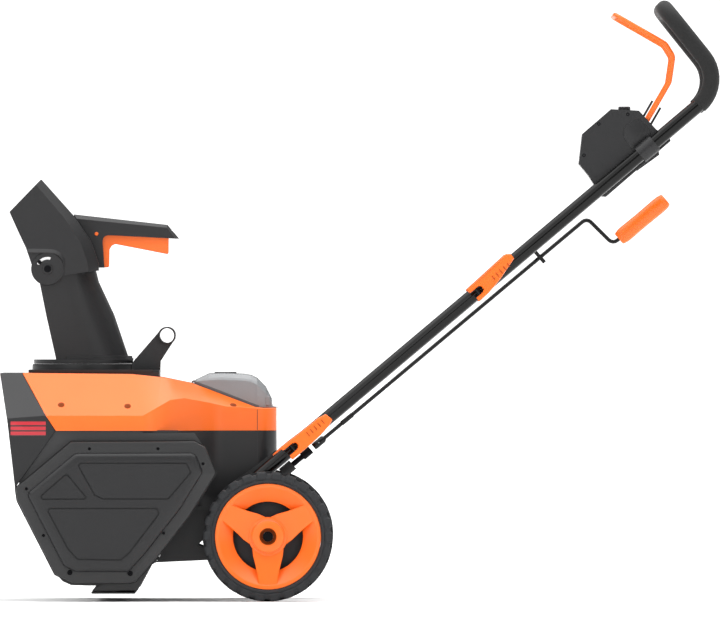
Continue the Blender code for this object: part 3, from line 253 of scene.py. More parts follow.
@dataclass(frozen=True)
class VulcanisedRubber(Finish):
    """Rubber cured in a steel mould.

    Carbon black and bloom leave a dull blue-grey skin with soft mottling and no sharp highlight.
    """

    mottle_mm: float = 9.0
    relief_mm: float = 0.12

    def wire(self, tree: bpy.types.NodeTree, shader: bpy.types.Node, coords: bpy.types.NodeSocket) -> None:
        """Mottling drives tone, a finer layer of it drives the bump.

        Args:
            tree: the material's node tree.
            shader: its Principled shader.
            coords: the piece's own coordinates, in metres.
        """
        mottle = add(tree, "ShaderNodeTexNoise", {"Vector": coords, "Scale": per_metre(self.mottle_mm),
                                                  "Detail": 5.0, "Roughness": 0.65}).outputs[0]
        tone = add(tree, "ShaderNodeMix", {0: mottle, 6: linear(self.colour), 7: linear(self.shade)},
                   data_type="RGBA").outputs[2]
        skin = add(tree, "ShaderNodeTexNoise", {"Vector": coords, "Scale": per_metre(2.0),
                                                "Detail": 3.0}).outputs[0]
        bump = add(tree, "ShaderNodeBump", {"Height": skin, "Strength": 0.5,
                                            "Distance": self.relief_mm * MM}).outputs[0]
        gloss = add(tree, "ShaderNodeMapRange", {"Value": mottle, "To Min": self.roughness - 0.08,
                                                 "To Max": self.roughness + 0.05}).outputs[0]
        tree.links.new(tone, shader.inputs["Base Color"])
        tree.links.new(gloss, shader.inputs["Roughness"])
        tree.links.new(bump, shader.inputs["Normal"])
        shader.inputs["Specular IOR Level"].default_value = 0.3


@dataclass(frozen=True)
class SkinnedFoam(Finish):
    """Closed-cell foam sleeve.

    Cut cells leave a pitted matt surface with a soft sheen at the edges.
    """

    cell_mm: float = 2.4  # real cells are about 0.4 mm; drawn coarser so that they show

    def wire(self, tree: bpy.types.NodeTree, shader: bpy.types.Node, coords: bpy.types.NodeSocket) -> None:
        """Cells drive both the pitting and its darker floors, which are painted shade.

        Args:
            tree: the material's node tree.
            shader: its Principled shader.
            coords: the piece's own coordinates, in metres.
        """
        cells = add(tree, "ShaderNodeTexVoronoi", {"Vector": coords,
                                                   "Scale": per_metre(self.cell_mm)}).outputs["Distance"]
        # Darker tone in the pit floors: painted shade.
        tone = add(tree, "ShaderNodeMix", {0: cells, 6: linear(self.shade), 7: linear(self.colour)},
                   data_type="RGBA").outputs[2]
        bump = add(tree, "ShaderNodeBump", {"Height": cells, "Strength": 0.35,
                                            "Distance": 0.25 * MM}).outputs[0]
        tree.links.new(tone, shader.inputs["Base Color"])
        tree.links.new(bump, shader.inputs["Normal"])
        shader.inputs["Roughness"].default_value = self.roughness
        shader.inputs["Specular IOR Level"].default_value = 0.25
        shader.inputs["Sheen Weight"].default_value = 0.08
        shader.inputs["Sheen Roughness"].default_value = 0.5


@dataclass(frozen=True)
class PlatedMetal(Finish):
    """Drawn or cast metal with a thin plated or raw skin.

    The surface is bright and slightly streaked, and its roughness wanders where hands and
    dirt have been.
    """

    streak_mm: float = 4.0
    relief_mm: float = 0.03

    def wire(self, tree: bpy.types.NodeTree, shader: bpy.types.Node, coords: bpy.types.NodeSocket) -> None:
        """Streaks drive tone, roughness and a slight bump.

        Args:
            tree: the material's node tree.
            shader: its Principled shader.
            coords: the piece's own coordinates, in metres.
        """
        streak = add(tree, "ShaderNodeTexNoise", {"Vector": coords, "Scale": per_metre(self.streak_mm),
                                                  "Detail": 4.0, "Distortion": 0.6}).outputs[0]
        tone = add(tree, "ShaderNodeMix", {0: streak, 6: linear(self.colour), 7: linear(self.shade)},
                   data_type="RGBA").outputs[2]
        gloss = add(tree, "ShaderNodeMapRange", {"Value": streak, "To Min": self.roughness - 0.08,
                                                 "To Max": self.roughness + 0.1}).outputs[0]
        bump = add(tree, "ShaderNodeBump", {"Height": streak, "Strength": 0.4,
                                            "Distance": self.relief_mm * MM}).outputs[0]
        tree.links.new(tone, shader.inputs["Base Color"])
        tree.links.new(gloss, shader.inputs["Roughness"])
        tree.links.new(bump, shader.inputs["Normal"])
        shader.inputs["Metallic"].default_value = 1.0


@dataclass(frozen=True)
class SmokedSheet(Finish):
    """Smoked polycarbonate, moulded thin and polished.

    It is glossy and grey, and what lies under it shows as a dim shape.
    """

    alpha: float = 0.80

    def wire(self, tree: bpy.types.NodeTree, shader: bpy.types.Node, coords: bpy.types.NodeSocket) -> None:
        """A faint cloud in the grey, with a clear gloss over it.

        Args:
            tree: the material's node tree.
            shader: its Principled shader.
            coords: the piece's own coordinates, in metres.
        """
        cloud = add(tree, "ShaderNodeTexNoise", {"Vector": coords, "Scale": per_metre(45.0),
                                                 "Detail": 2.0}).outputs[0]
        tone = add(tree, "ShaderNodeMix", {0: cloud, 6: linear(self.colour), 7: linear(self.shade)},
                   data_type="RGBA").outputs[2]
        ripple = add(tree, "ShaderNodeTexNoise", {"Vector": coords, "Scale": per_metre(22.0)}).outputs[0]
        bump = add(tree, "ShaderNodeBump", {"Height": ripple, "Strength": 0.2,
                                            "Distance": 0.1 * MM}).outputs[0]
        tree.links.new(tone, shader.inputs["Base Color"])
        tree.links.new(bump, shader.inputs["Normal"])
        shader.inputs["Roughness"].default_value = self.roughness
        shader.inputs["IOR"].default_value = 1.58
        shader.inputs["Alpha"].default_value = self.alpha


@dataclass(frozen=True)
class PrintedLabel(Finish):
    """Screen-printed polyester label.

    Flat ink with plain stripes, under a thin clear film that gives an even low gloss.
    """

    stripe_mm: float = 8.0

    def wire(self, tree: bpy.types.NodeTree, shader: bpy.types.Node, coords: bpy.types.NodeSocket) -> None:
        """Plain level stripes of the two inks, with a slightly uneven film.

        Args:
            tree: the material's node tree.
            shader: its Principled shader.
            coords: the piece's own coordinates, in metres.
        """
        height = add(tree, "ShaderNodeSeparateXYZ", {0: coords}).outputs["Z"]
        step = add(tree, "ShaderNodeMath", {0: height, 1: per_metre(self.stripe_mm)},
                   operation="MULTIPLY").outputs[0]
        phase = add(tree, "ShaderNodeMath", {0: step}, operation="FRACT").outputs[0]
        ink = add(tree, "ShaderNodeMath", {0: phase, 1: 0.30}, operation="LESS_THAN").outputs[0]
        tone = add(tree, "ShaderNodeMix", {0: ink, 6: linear(self.colour), 7: linear(self.shade)},
                   data_type="RGBA").outputs[2]
        film = add(tree, "ShaderNodeTexNoise", {"Vector": coords, "Scale": per_metre(5.0)}).outputs[0]
        gloss = add(tree, "ShaderNodeMapRange", {"Value": film, "To Min": self.roughness - 0.05,
                                                 "To Max": self.roughness + 0.05}).outputs[0]
        tree.links.new(tone, shader.inputs["Base Color"])
        tree.links.new(gloss, shader.inputs["Roughness"])


ORANGE_ABS = MouldedPlastic("moulded_orange_abs", Slot.ORANGE_PLASTIC, "#F56C0E", "#F0660C", 0.38)
# Darker orange that paints the shade in the cover's screw recesses and in the wheel hub's recess; the lever ribs use
# it too.
DEEP_ORANGE = MouldedPlastic("shaded_orange_abs", Slot.ORANGE_PLASTIC, "#8A3C0E", "#7C360C", 0.60, specular=0.15)
ORANGE_WIRE = BakedEnamel("orange_dipped_steel", Slot.ORANGE_PAINT, "#F46C12", "#EE6610", 0.38)
BLACK_PP = MouldedPlastic("grained_black_polypropylene", Slot.BLACK_PLASTIC, "#1C1C1D", "#18181A", 0.42, specular=0.40)
BORDER_PP = MouldedPlastic("matt_black_polypropylene", Slot.BLACK_PLASTIC, "#1F1F20", "#1A1A1B", 0.50)
# Near-black; on the side covers it paints the shadow gap round their edge, on the carry handle's rings it is their own
# colour.
DEEP_BLACK = MouldedPlastic("deep_black_plastic_and_shadow_gap", Slot.BLACK_PLASTIC, "#0C0C0D", "#080808", 0.60)
PACK_PC = MouldedPlastic("moulded_battery_polycarbonate", Slot.BATTERY_PLASTIC, "#2B2B2D", "#242426", 0.45)
LID_EDGE = MouldedPlastic("grey_lid_edge_polycarbonate", Slot.SMOKE_LID, "#4C4B4C", "#454445", 0.40)
SMOKED_PC = SmokedSheet("smoked_polycarbonate", Slot.SMOKE_LID, "#8C8E90", "#828486", 0.20)
TYRE_RUBBER = VulcanisedRubber("vulcanised_tyre_rubber", Slot.TYRE, "#2C2D2F", "#242527", 0.72)
SOFT_RUBBER = VulcanisedRubber("moulded_black_rubber", Slot.RUBBER, "#262626", "#1E1E1E", 0.66)
GRIP_FOAM = SkinnedFoam("closed_cell_grip_foam", Slot.FOAM, "#202020", "#1A1A1A", 0.72)
GLOSS_BLACK = BakedEnamel("gloss_black_powder_coat", Slot.BLACK_PAINT, "#050505", "#080808", 0.14, specular=0.26)
SATIN_BLACK = BakedEnamel("satin_black_powder_coat", Slot.BLACK_PAINT, "#2A2A2B", "#2E2E2F", 0.50)
ZINC = PlatedMetal("zinc_plated_steel", Slot.STEEL, "#8E9093", "#7A7C80", 0.36)
# Near-white plate that paints the bright backdrop seen through the deflector's arc slots.
BACKDROP_WHITE = PlatedMetal("painted_backdrop_white", Slot.STEEL, "#F4F4F4", "#E6E6E6", 0.60)
BLACK_OXIDE = PlatedMetal("black_oxide_steel", Slot.STEEL, "#1C1C1E", "#141416", 0.42)
CAST_ALUMINIUM = PlatedMetal("cast_aluminium", Slot.ALUMINIUM, "#A8A9AB", "#8F9092", 0.45, streak_mm=2.5)
BADGE = PrintedLabel("printed_red_label", Slot.BLACK_PLASTIC, "#B92430", "#3A2224", 0.4)


# ---------------------------------------------------------------- mesh helpers
def inset(outline: Sequence[Point], distance: float) -> list[Point]:
    """Moves a closed outline inwards.

    Args:
        outline: corners in order.
        distance: how far each side moves.

    Returns:
        The moved corners.
    """
    area = sum(a[0] * b[1] - b[0] * a[1] for a, b in zip(outline, list(outline[1:]) + [outline[0]]))
    turn = 1.0 if area > 0 else -1.0
    moved = []
    for i, corner in enumerate(outline):
        here = Vector(corner)
        come = (here - Vector(outline[i - 1])).normalized()
        leave = (Vector(outline[(i + 1) % len(outline)]) - here).normalized()
        inward = Vector((-(come + leave).y, (come + leave).x)).normalized() * turn
        reach = distance / max(inward.dot(Vector((-leave.y, leave.x)) * turn), 0.3)
        moved.append(tuple(here + inward * reach))
    return moved


def rounded(outline: Sequence[Point], radius: float, steps: int = 4) -> list[Point]:
    """Rounds every corner of a closed outline.

    Args:
        outline: corners in order.
        radius: the corner radius, smaller where a side is too short for it.
        steps: straight steps in each corner.

    Returns:
        The new outline, with steps + 1 points for each corner.
    """
    path = []
    count = len(outline)
    for i, corner in enumerate(outline):
        here = Vector(corner)
        before = Vector(outline[i - 1]) - here
        after = Vector(outline[(i + 1) % count]) - here
        half = before.angle(after) / 2
        reach = min(radius / math.tan(half), 0.48 * min(before.length, after.length))
        first = here + before.normalized() * reach
        last = here + after.normalized() * reach
        for k in range(steps + 1):
            t = k / steps
            path.append(tuple(first.lerp(here, t).lerp(here.lerp(last, t), t)))
    return path


def circle(centre: Point, radius: float, count: int) -> list[Point]:
    """Points round a circle."""
    return [(centre[0] + radius * math.cos(2 * math.pi * k / count),
             centre[1] + radius * math.sin(2 * math.pi * k / count)) for k in range(count)]


def loft(shape: bmesh.types.BMesh, loops: Sequence[Sequence[Vector]], ends: Ends = Ends.CAPPED) -> None:
    """Adds a skin through closed loops of equal length.

    Args:
        shape: the mesh to add to.
        loops: the loops in order.
        ends: whether the first and last loops are capped or joined to each other.
    """
    rings = [[shape.verts.new(p) for p in loop] for loop in loops]
    pairs = list(zip(rings, rings[1:]))
    if ends is Ends.JOINED:
        pairs.append((rings[-1], rings[0]))
    for first, second in pairs:
        for k in range(len(first)):
            n = (k + 1) % len(first)
            shape.faces.new((first[k], first[n], second[n], second[k]))
    if ends is Ends.CAPPED:
        shape.faces.new(rings[0])
        shape.faces.new(rings[-1])


def slab(shape: bmesh.types.BMesh, outline: Sequence[Point], near: float, far: float, lip: float = 0.0) -> None:
    """Adds an XZ outline extruded along Y, with its far edge eased.

    Args:
        shape: the mesh to add to.
        outline: corners in X and Z.
        near: Y of the back.
        far: Y of the face that is seen.
        lip: width of the eased edge round the far face.
    """
    steps = [(0.0, near), (0.0, far)]
    if lip:
        towards = math.copysign(lip, far - near)
        steps = [(0.0, near), (0.0, far - towards), (0.3 * lip, far - 0.3 * towards), (lip, far)]
    loft(shape, [[Vector((x, y, z)) for x, z in inset(outline, distance)] for distance, y in steps])


def spin(shape: bmesh.types.BMesh, profile: Sequence[Point], at: Vector, axis: Vector, count: int = 48,
         ends: Ends = Ends.CAPPED) -> None:
    """Adds a turned shape from a (radius, height) profile.

    Args:
        shape: the mesh to add to.
        profile: radius and height pairs in order.
        at: where height zero is.
        axis: the direction of growing height.
        count: points round the shape.
        ends: how the profile closes.
    """
    turn = Vector((0, 0, 1)).rotation_difference(Vector(axis)).to_matrix()
    loops = [[Vector(at) + turn @ Vector((x, y, height)) for x, y in circle((0, 0), radius, count)]
             for radius, height in profile]
    loft(shape, loops, ends)


def arcs(corners: Sequence[tuple[float, float, float]], radius: float) -> list[Vector]:
    """A 3-D line whose inner corners are true arcs.

    Args:
        corners: the line's corners.
        radius: the bend radius.

    Returns:
        Points from the first corner to the last.
    """
    spots = [Vector(c) for c in corners]
    path = [spots[0]]
    for before, corner, after in zip(spots, spots[1:], spots[2:]):
        come = (before - corner).normalized()
        leave = (after - corner).normalized()
        half = come.angle(leave) / 2
        reach = radius / math.tan(half)
        middle = corner + (come + leave).normalized() * (radius / math.sin(half))
        first, last = corner + come * reach - middle, corner + leave * reach - middle
        path += [middle + first.slerp(last, i / 10) * radius for i in range(11)]
    path.append(spots[-1])
    return path


def sweep(shape: bmesh.types.BMesh, path: Sequence[Vector], radii: Sequence[float], count: int = 24) -> None:
    """Adds a round bar along a path.

    Args:
        shape: the mesh to add to.
        path: the centre line.
        radii: the radius at each point.
        count: points round the bar.
    """
    points = [Vector(p) for p in path]
    normal = (points[1] - points[0]).orthogonal().normalized()
    loops = []
    for i, point in enumerate(points):
        along = (points[min(i + 1, len(points) - 1)] - points[max(i - 1, 0)]).normalized()
        normal = (normal - along * normal.dot(along)).normalized()
        side = along.cross(normal)
        loops.append([point + normal * x + side * y for x, y in circle((0, 0), radii[i], count)])
    loft(shape, loops)


def ease(shape: bmesh.types.BMesh, width: float, crease: float = 30.0, segments: int = 2) -> None:
    """Rounds every edge sharper than a crease angle."""
    shape.normal_update()
    sharp = [e for e in shape.edges if len(e.link_faces) == 2 and e.calc_face_angle(0.0) > math.radians(crease)]
    bmesh.ops.bevel(shape, geom=sharp, offset=width, segments=segments, affect="EDGES", clamp_overlap=True)


def fit(name: str, shape: bmesh.types.BMesh, finish: Finish, body: str, smooth: float = 35.0) -> bpy.types.Object:
    """Turns a mesh into a finished piece that rides on a body.

    Args:
        name: the piece's name.
        shape: its mesh, which is freed.
        finish: its finish.
        body: the body it rides on.
        smooth: edges flatter than this angle are shaded smooth.

    Returns:
        The new piece.
    """
    bmesh.ops.recalc_face_normals(shape, faces=shape.faces)
    mesh = bpy.data.meshes.new(name)
    shape.to_mesh(mesh)
    shape.free()
    mesh.materials.append(finish.material())
    mesh.shade_smooth()
    mesh.set_sharp_from_angle(angle=math.radians(smooth))
    piece = bpy.data.objects.new(name, mesh)
    bpy.context.scene.collection.objects.link(piece)
    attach(piece, body)
    LOG.info("piece %s on %s, %s", name, body, finish.name)
    return piece


def carve(shape: bmesh.types.BMesh, cutter: bmesh.types.BMesh) -> bmesh.types.BMesh:
    """Cuts one mesh out of another.

    Args:
        shape: the mesh that is cut, which is freed.
        cutter: the mesh that is taken away, which is freed.

    Returns:
        A new mesh with what is left.
    """
    guides = []
    for label, source in (("carved", shape), ("cutter", cutter)):
        bmesh.ops.recalc_face_normals(source, faces=source.faces)
        mesh = bpy.data.meshes.new(label)
        source.to_mesh(mesh)
        source.free()
        guide = bpy.data.objects.new(label, mesh)
        bpy.context.scene.collection.objects.link(guide)
        guides.append(guide)
    step = guides[0].modifiers.new("carve", "BOOLEAN")
    step.operation = "DIFFERENCE"
    step.solver = "EXACT"
    step.object = guides[1]
    left = bpy.data.meshes.new_from_object(guides[0].evaluated_get(bpy.context.evaluated_depsgraph_get()))
    result = bmesh.new()
    result.from_mesh(left)
    bpy.data.meshes.remove(left)
    for guide in guides:
        mesh = guide.data
        bpy.data.objects.remove(guide)
        bpy.data.meshes.remove(mesh)
    bmesh.ops.dissolve_limit(result, angle_limit=math.radians(0.5), verts=result.verts, edges=result.edges)
    return result


def smooth_group() -> bpy.types.NodeTree:
    """The node group that shades edges flatter than a crease smooth, made once.

    Returns:
        The geometry node group.
    """
    found = bpy.data.node_groups.get("smooth_below_crease")
    if found:
        return found
    tree = bpy.data.node_groups.new("smooth_below_crease", "GeometryNodeTree")
    tree.interface.new_socket("Geometry", in_out="INPUT", socket_type="NodeSocketGeometry")
    tree.interface.new_socket("Geometry", in_out="OUTPUT", socket_type="NodeSocketGeometry")
    source = add(tree, "NodeGroupInput").outputs[0]
    bare = add(tree, "GeometryNodeRemoveAttribute", {"Geometry": source, "Name": "custom_normal"}).outputs[0]
    angle = add(tree, "GeometryNodeInputMeshEdgeAngle").outputs[0]
    flat = add(tree, "FunctionNodeCompare", {0: angle, 1: math.radians(38.0)}, data_type="FLOAT",
               operation="LESS_THAN").outputs[0]
    faces = add(tree, "GeometryNodeSetShadeSmooth", {"Geometry": bare}, domain="FACE").outputs[0]
    edges = add(tree, "GeometryNodeSetShadeSmooth", {"Geometry": faces, "Shade Smooth": flat},
                domain="EDGE").outputs[0]
    add(tree, "NodeGroupOutput", {0: edges})
    return tree


def dress(names: Sequence[str], finish: Finish, edge_mm: float = 0.8) -> None:
    """Gives CAD nodes a finish, eased edges and smooth shading.

    Args:
        names: the nodes.
        finish: their finish.
        edge_mm: width of the eased edges, or zero for none.
    """
    for name in names:
        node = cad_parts[name]
        for place in node.material_slots:
            place.material = finish.material()
        weld = node.modifiers.new("weld", "WELD")
        weld.merge_threshold = 0.01 * MM
        if edge_mm:
            plain = node.modifiers.new("plain", "DECIMATE")
            plain.decimate_type = "DISSOLVE"
            plain.angle_limit = math.radians(0.4)
            bevel = node.modifiers.new("ease", "BEVEL")
            bevel.width = edge_mm * MM
            bevel.segments = 2
            bevel.limit_method = "ANGLE"
            bevel.angle_limit = math.radians(38.0)
        shading = node.modifiers.new("shading", "NODES")
        shading.node_group = smooth_group()
        if edge_mm:
            weigh = node.modifiers.new("weigh", "WEIGHTED_NORMAL")
            weigh.keep_sharp = True
        LOG.info("node %s, %s", name, finish.name)


def surface(name: str, start: Vector, heading: Vector) -> tuple[Vector, Vector]:
    """Where a straight line first meets a CAD node.

    Args:
        name: the node.
        start: a point outside it.
        heading: the direction to look in.

    Returns:
        The point met and the outward normal there.
    """
    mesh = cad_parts[name].data
    tree = BVHTree.FromPolygons([v.co for v in mesh.vertices], [tuple(p.vertices) for p in mesh.polygons])
    spot, normal, _, _ = tree.ray_cast(Vector(start), Vector(heading))
    if normal.dot(Vector(heading)) > 0:
        normal = -normal
    return spot, normal


def add_screw(shape: bmesh.types.BMesh, at: Vector, normal: Vector, radius: float, rise: float = 0.8 * MM) -> None:
    """Adds a pan-head screw with a round socket.

    Args:
        shape: the mesh to add to.
        at: the middle of its seat.
        normal: which way the head faces.
        radius: the head's radius.
        rise: how far the head stands out.
    """
    profile = [(radius, -rise), (radius, 0.35 * rise), (0.92 * radius, 0.75 * rise), (0.72 * radius, rise),
               (0.50 * radius, rise), (0.46 * radius, -0.6 * rise)]
    spin(shape, profile, at, normal, count=18)


# ---------------------------------------------------------------- wheels
@dataclass
class Wheel:
    """One wheel: a lugged tyre on a three-spoked dished rim."""

    side: Side
    lugs: int = 26
    steps_per_lug: int = 8
    lug_height: float = 3.4 * MM
    lug_push: float = 1.4 * MM
    bead_radius: float = 85.2 * MM
    hole_radius: float = 57.5 * MM
    collar_radius: float = 31.4 * MM
    hub_radius: float = 25.7 * MM
    recess_radius: float = 12.9 * MM

    def __post_init__(self) -> None:
        """Reads the wheel's place from the frame."""
        low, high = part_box(f"tyre_{self.side.word}")
        self.centre = (low + high) / 2
        self.radius = (high.x - low.x) / 2
        self.half = (high.y - low.y) / 2
        self.body = f"wheel_{self.side.word}"
        self.out = Vector((0, self.side.value, 0))

    def tyre(self) -> None:
        """Builds the tyre with two staggered rows of lugs."""
        lift = (0.0, 1.0, 1.0, 1.0, 1.0, 1.0, 0.0, 0.0)
        base = self.radius - self.lug_height
        half = self.half
        wall = [(self.bead_radius, 4.0, 0, 0), (87.6 * MM, 1.4, 0, 0), (90.0 * MM, 1.4, 0, 0), (90.8 * MM, 2.4, 0, 0),
                (92.6 * MM, 2.6, 1, 0), (93.4 * MM, 2.0, 1, 0), (base - 3.4 * MM, 2.6, 1, 1),
                (base - 0.8 * MM, 4.4, 1, 1), (base, 6.5, 0, 1)]
        section = [(radius, -half + depth * MM, -push, row) for radius, depth, push, row in wall]
        section += [(base, -1.6 * MM, 0, 1), (base, -1.2 * MM, 0, 0), (base, 1.2 * MM, 0, 0), (base, 1.6 * MM, 0, 2)]
        section += [(radius, half - depth * MM, push, 2 if row else 0) for radius, depth, push, row in wall[::-1]]
        count = self.lugs * self.steps_per_lug
        loops = []
        for radius, height, push, row in section:
            loop = []
            for k in range(count):
                shift = self.steps_per_lug // 2 if height > 0 else 0
                rise = lift[(k + shift) % self.steps_per_lug]
                reach = min(radius + (rise * self.lug_height if row else 0.0), self.radius - 0.02 * MM)
                level = height + rise * push * self.lug_push
                angle = 2 * math.pi * (k + 0.5) / count
                loop.append(self.centre + Vector((reach * math.cos(angle), level * self.side.value,
                                                  reach * math.sin(angle))))
            loops.append(loop)
        shape = bmesh.new()
        loft(shape, loops, Ends.JOINED)
        piece = fit(f"tyre_{self.side.word}_lugged", shape, TYRE_RUBBER, self.body, smooth=28.0)
        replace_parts(piece, f"tyre_{self.side.word}")

    def rim(self) -> None:
        """Builds the dished rim, its hub and its three spokes."""
        face = self.half - 4.6 * MM
        shape = bmesh.new()
        dish = [
            (84.9 * MM, -face), (84.9 * MM, face - 1.2 * MM), (84.2 * MM, face), (79.0 * MM, face),
            (77.6 * MM, face - 0.8 * MM), (60.0 * MM, face - 15.5 * MM), (self.hole_radius, face - 16.5 * MM),
            (self.hole_radius - 1.5 * MM, face - 18.0 * MM), (self.hole_radius, face - 19.5 * MM),
            (60.0 * MM, face - 18.6 * MM), (76.2 * MM, face - 8.0 * MM), (78.0 * MM, face - 14.0 * MM),
            (80.0 * MM, -face + 2.0 * MM), (80.5 * MM, -face),
        ]
        spin(shape, dish, self.centre, self.out, count=120, ends=Ends.JOINED)
        hub = [
            (22.0 * MM, -self.half + 3.2 * MM), (self.collar_radius - 2.0 * MM, face - 18.0 * MM),
            (self.collar_radius, face - 7.6 * MM), (self.collar_radius - 0.8 * MM, face - 6.2 * MM),
            (self.hub_radius + 1.6 * MM, face - 5.6 * MM), (self.hub_radius + 0.4 * MM, face - 4.6 * MM),
            (self.hub_radius, face + 0.4 * MM), (self.hub_radius - 1.2 * MM, face + 1.4 * MM),
            (self.recess_radius + 1.4 * MM, face + 1.4 * MM), (self.recess_radius, face + 0.2 * MM),
            (self.recess_radius - 0.8 * MM, face - 7.0 * MM), (8.5 * MM, face - 7.4 * MM),
            (8.5 * MM, -self.half + 3.2 * MM),
        ]
        spin(shape, hub, self.centre, self.out, count=72, ends=Ends.JOINED)
        for i in range(3):
            self.spoke(shape, math.radians(270 + 120 * i), face)
        piece = fit(f"rim_{self.side.word}_spoked", shape, ORANGE_ABS, self.body, smooth=40.0)
        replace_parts(piece, f"wheel_rim_{self.side.word}")

    def dark_parts(self) -> None:
        """Builds the black web behind the spokes and the lining of the hub's recess, whose darker orange is painted
        shade.
        """
        face = self.half - 4.6 * MM
        web = bmesh.new()
        profile = [(80.0, -20.5), (80.0, -17.0), (66.0, -12.0), (48.0, -8.5), (24.0, -6.5), (24.0, -9.5),
                   (48.0, -11.5), (64.0, -15.0), (76.0, -20.5)]
        spin(web, [(r * MM, h * MM) for r, h in profile], self.centre, self.out, count=96, ends=Ends.JOINED)
        fit(f"wheel_web_{self.side.word}", web, TYRE_RUBBER, self.body)
        # The recess lining is darker orange: painted shade inside the hub's recess.
        liner = bmesh.new()
        outer = self.recess_radius
        profile = [(outer + 0.4 * MM, face + 1.5 * MM), (outer - 0.2 * MM, face + 1.7 * MM),
                   (outer - 1.2 * MM, face - 3.0 * MM), (outer - 2.2 * MM, face - 6.4 * MM),
                   (8.4 * MM, face - 6.8 * MM),
                   (8.4 * MM, face - 7.4 * MM), (outer - 0.8 * MM, face - 7.0 * MM), (outer, face + 0.2 * MM)]
        spin(liner, profile, self.centre, self.out, count=48, ends=Ends.JOINED)
        fit(f"hub_liner_{self.side.word}", liner, DEEP_ORANGE, self.body)

    def spoke(self, shape: bmesh.types.BMesh, angle: float, face: float) -> None:
        """Adds one spoke that widens towards the hub.

        Args:
            shape: the rim's mesh.
            angle: the spoke's direction.
            face: how far the rim's front is from the wheel's middle plane.
        """
        along = Vector((math.cos(angle), 0, math.sin(angle)))
        across = Vector((-along.z, 0, along.x))
        stations = [(20.0, 25.0, 7.4, 13.0), (32.0, 23.6, 6.6, 14.0), (45.0, 20.2, 4.6, 12.0),
                    (60.0, 17.2, 2.6, 11.0), (77.5, 15.0, 0.9, 6.0)]
        loops = []
        for reach, half, depth, back in stations:
            middle = self.centre + along * reach * MM
            top = self.out * (face - depth * MM)
            low = self.out * (face - (depth + back) * MM)
            edge = 1.2 * MM
            loops.append([
                middle + across * (half * MM) + low, middle + across * (half * MM) + top - self.out * edge,
                middle + across * (half * MM - edge) + top, middle - across * (half * MM - edge) + top,
                middle - across * (half * MM) + top - self.out * edge, middle - across * (half * MM) + low,
            ])
        loft(shape, loops)

    def build(self) -> None:
        """Builds the whole wheel."""
        self.tyre()
        self.rim()
        self.dark_parts()


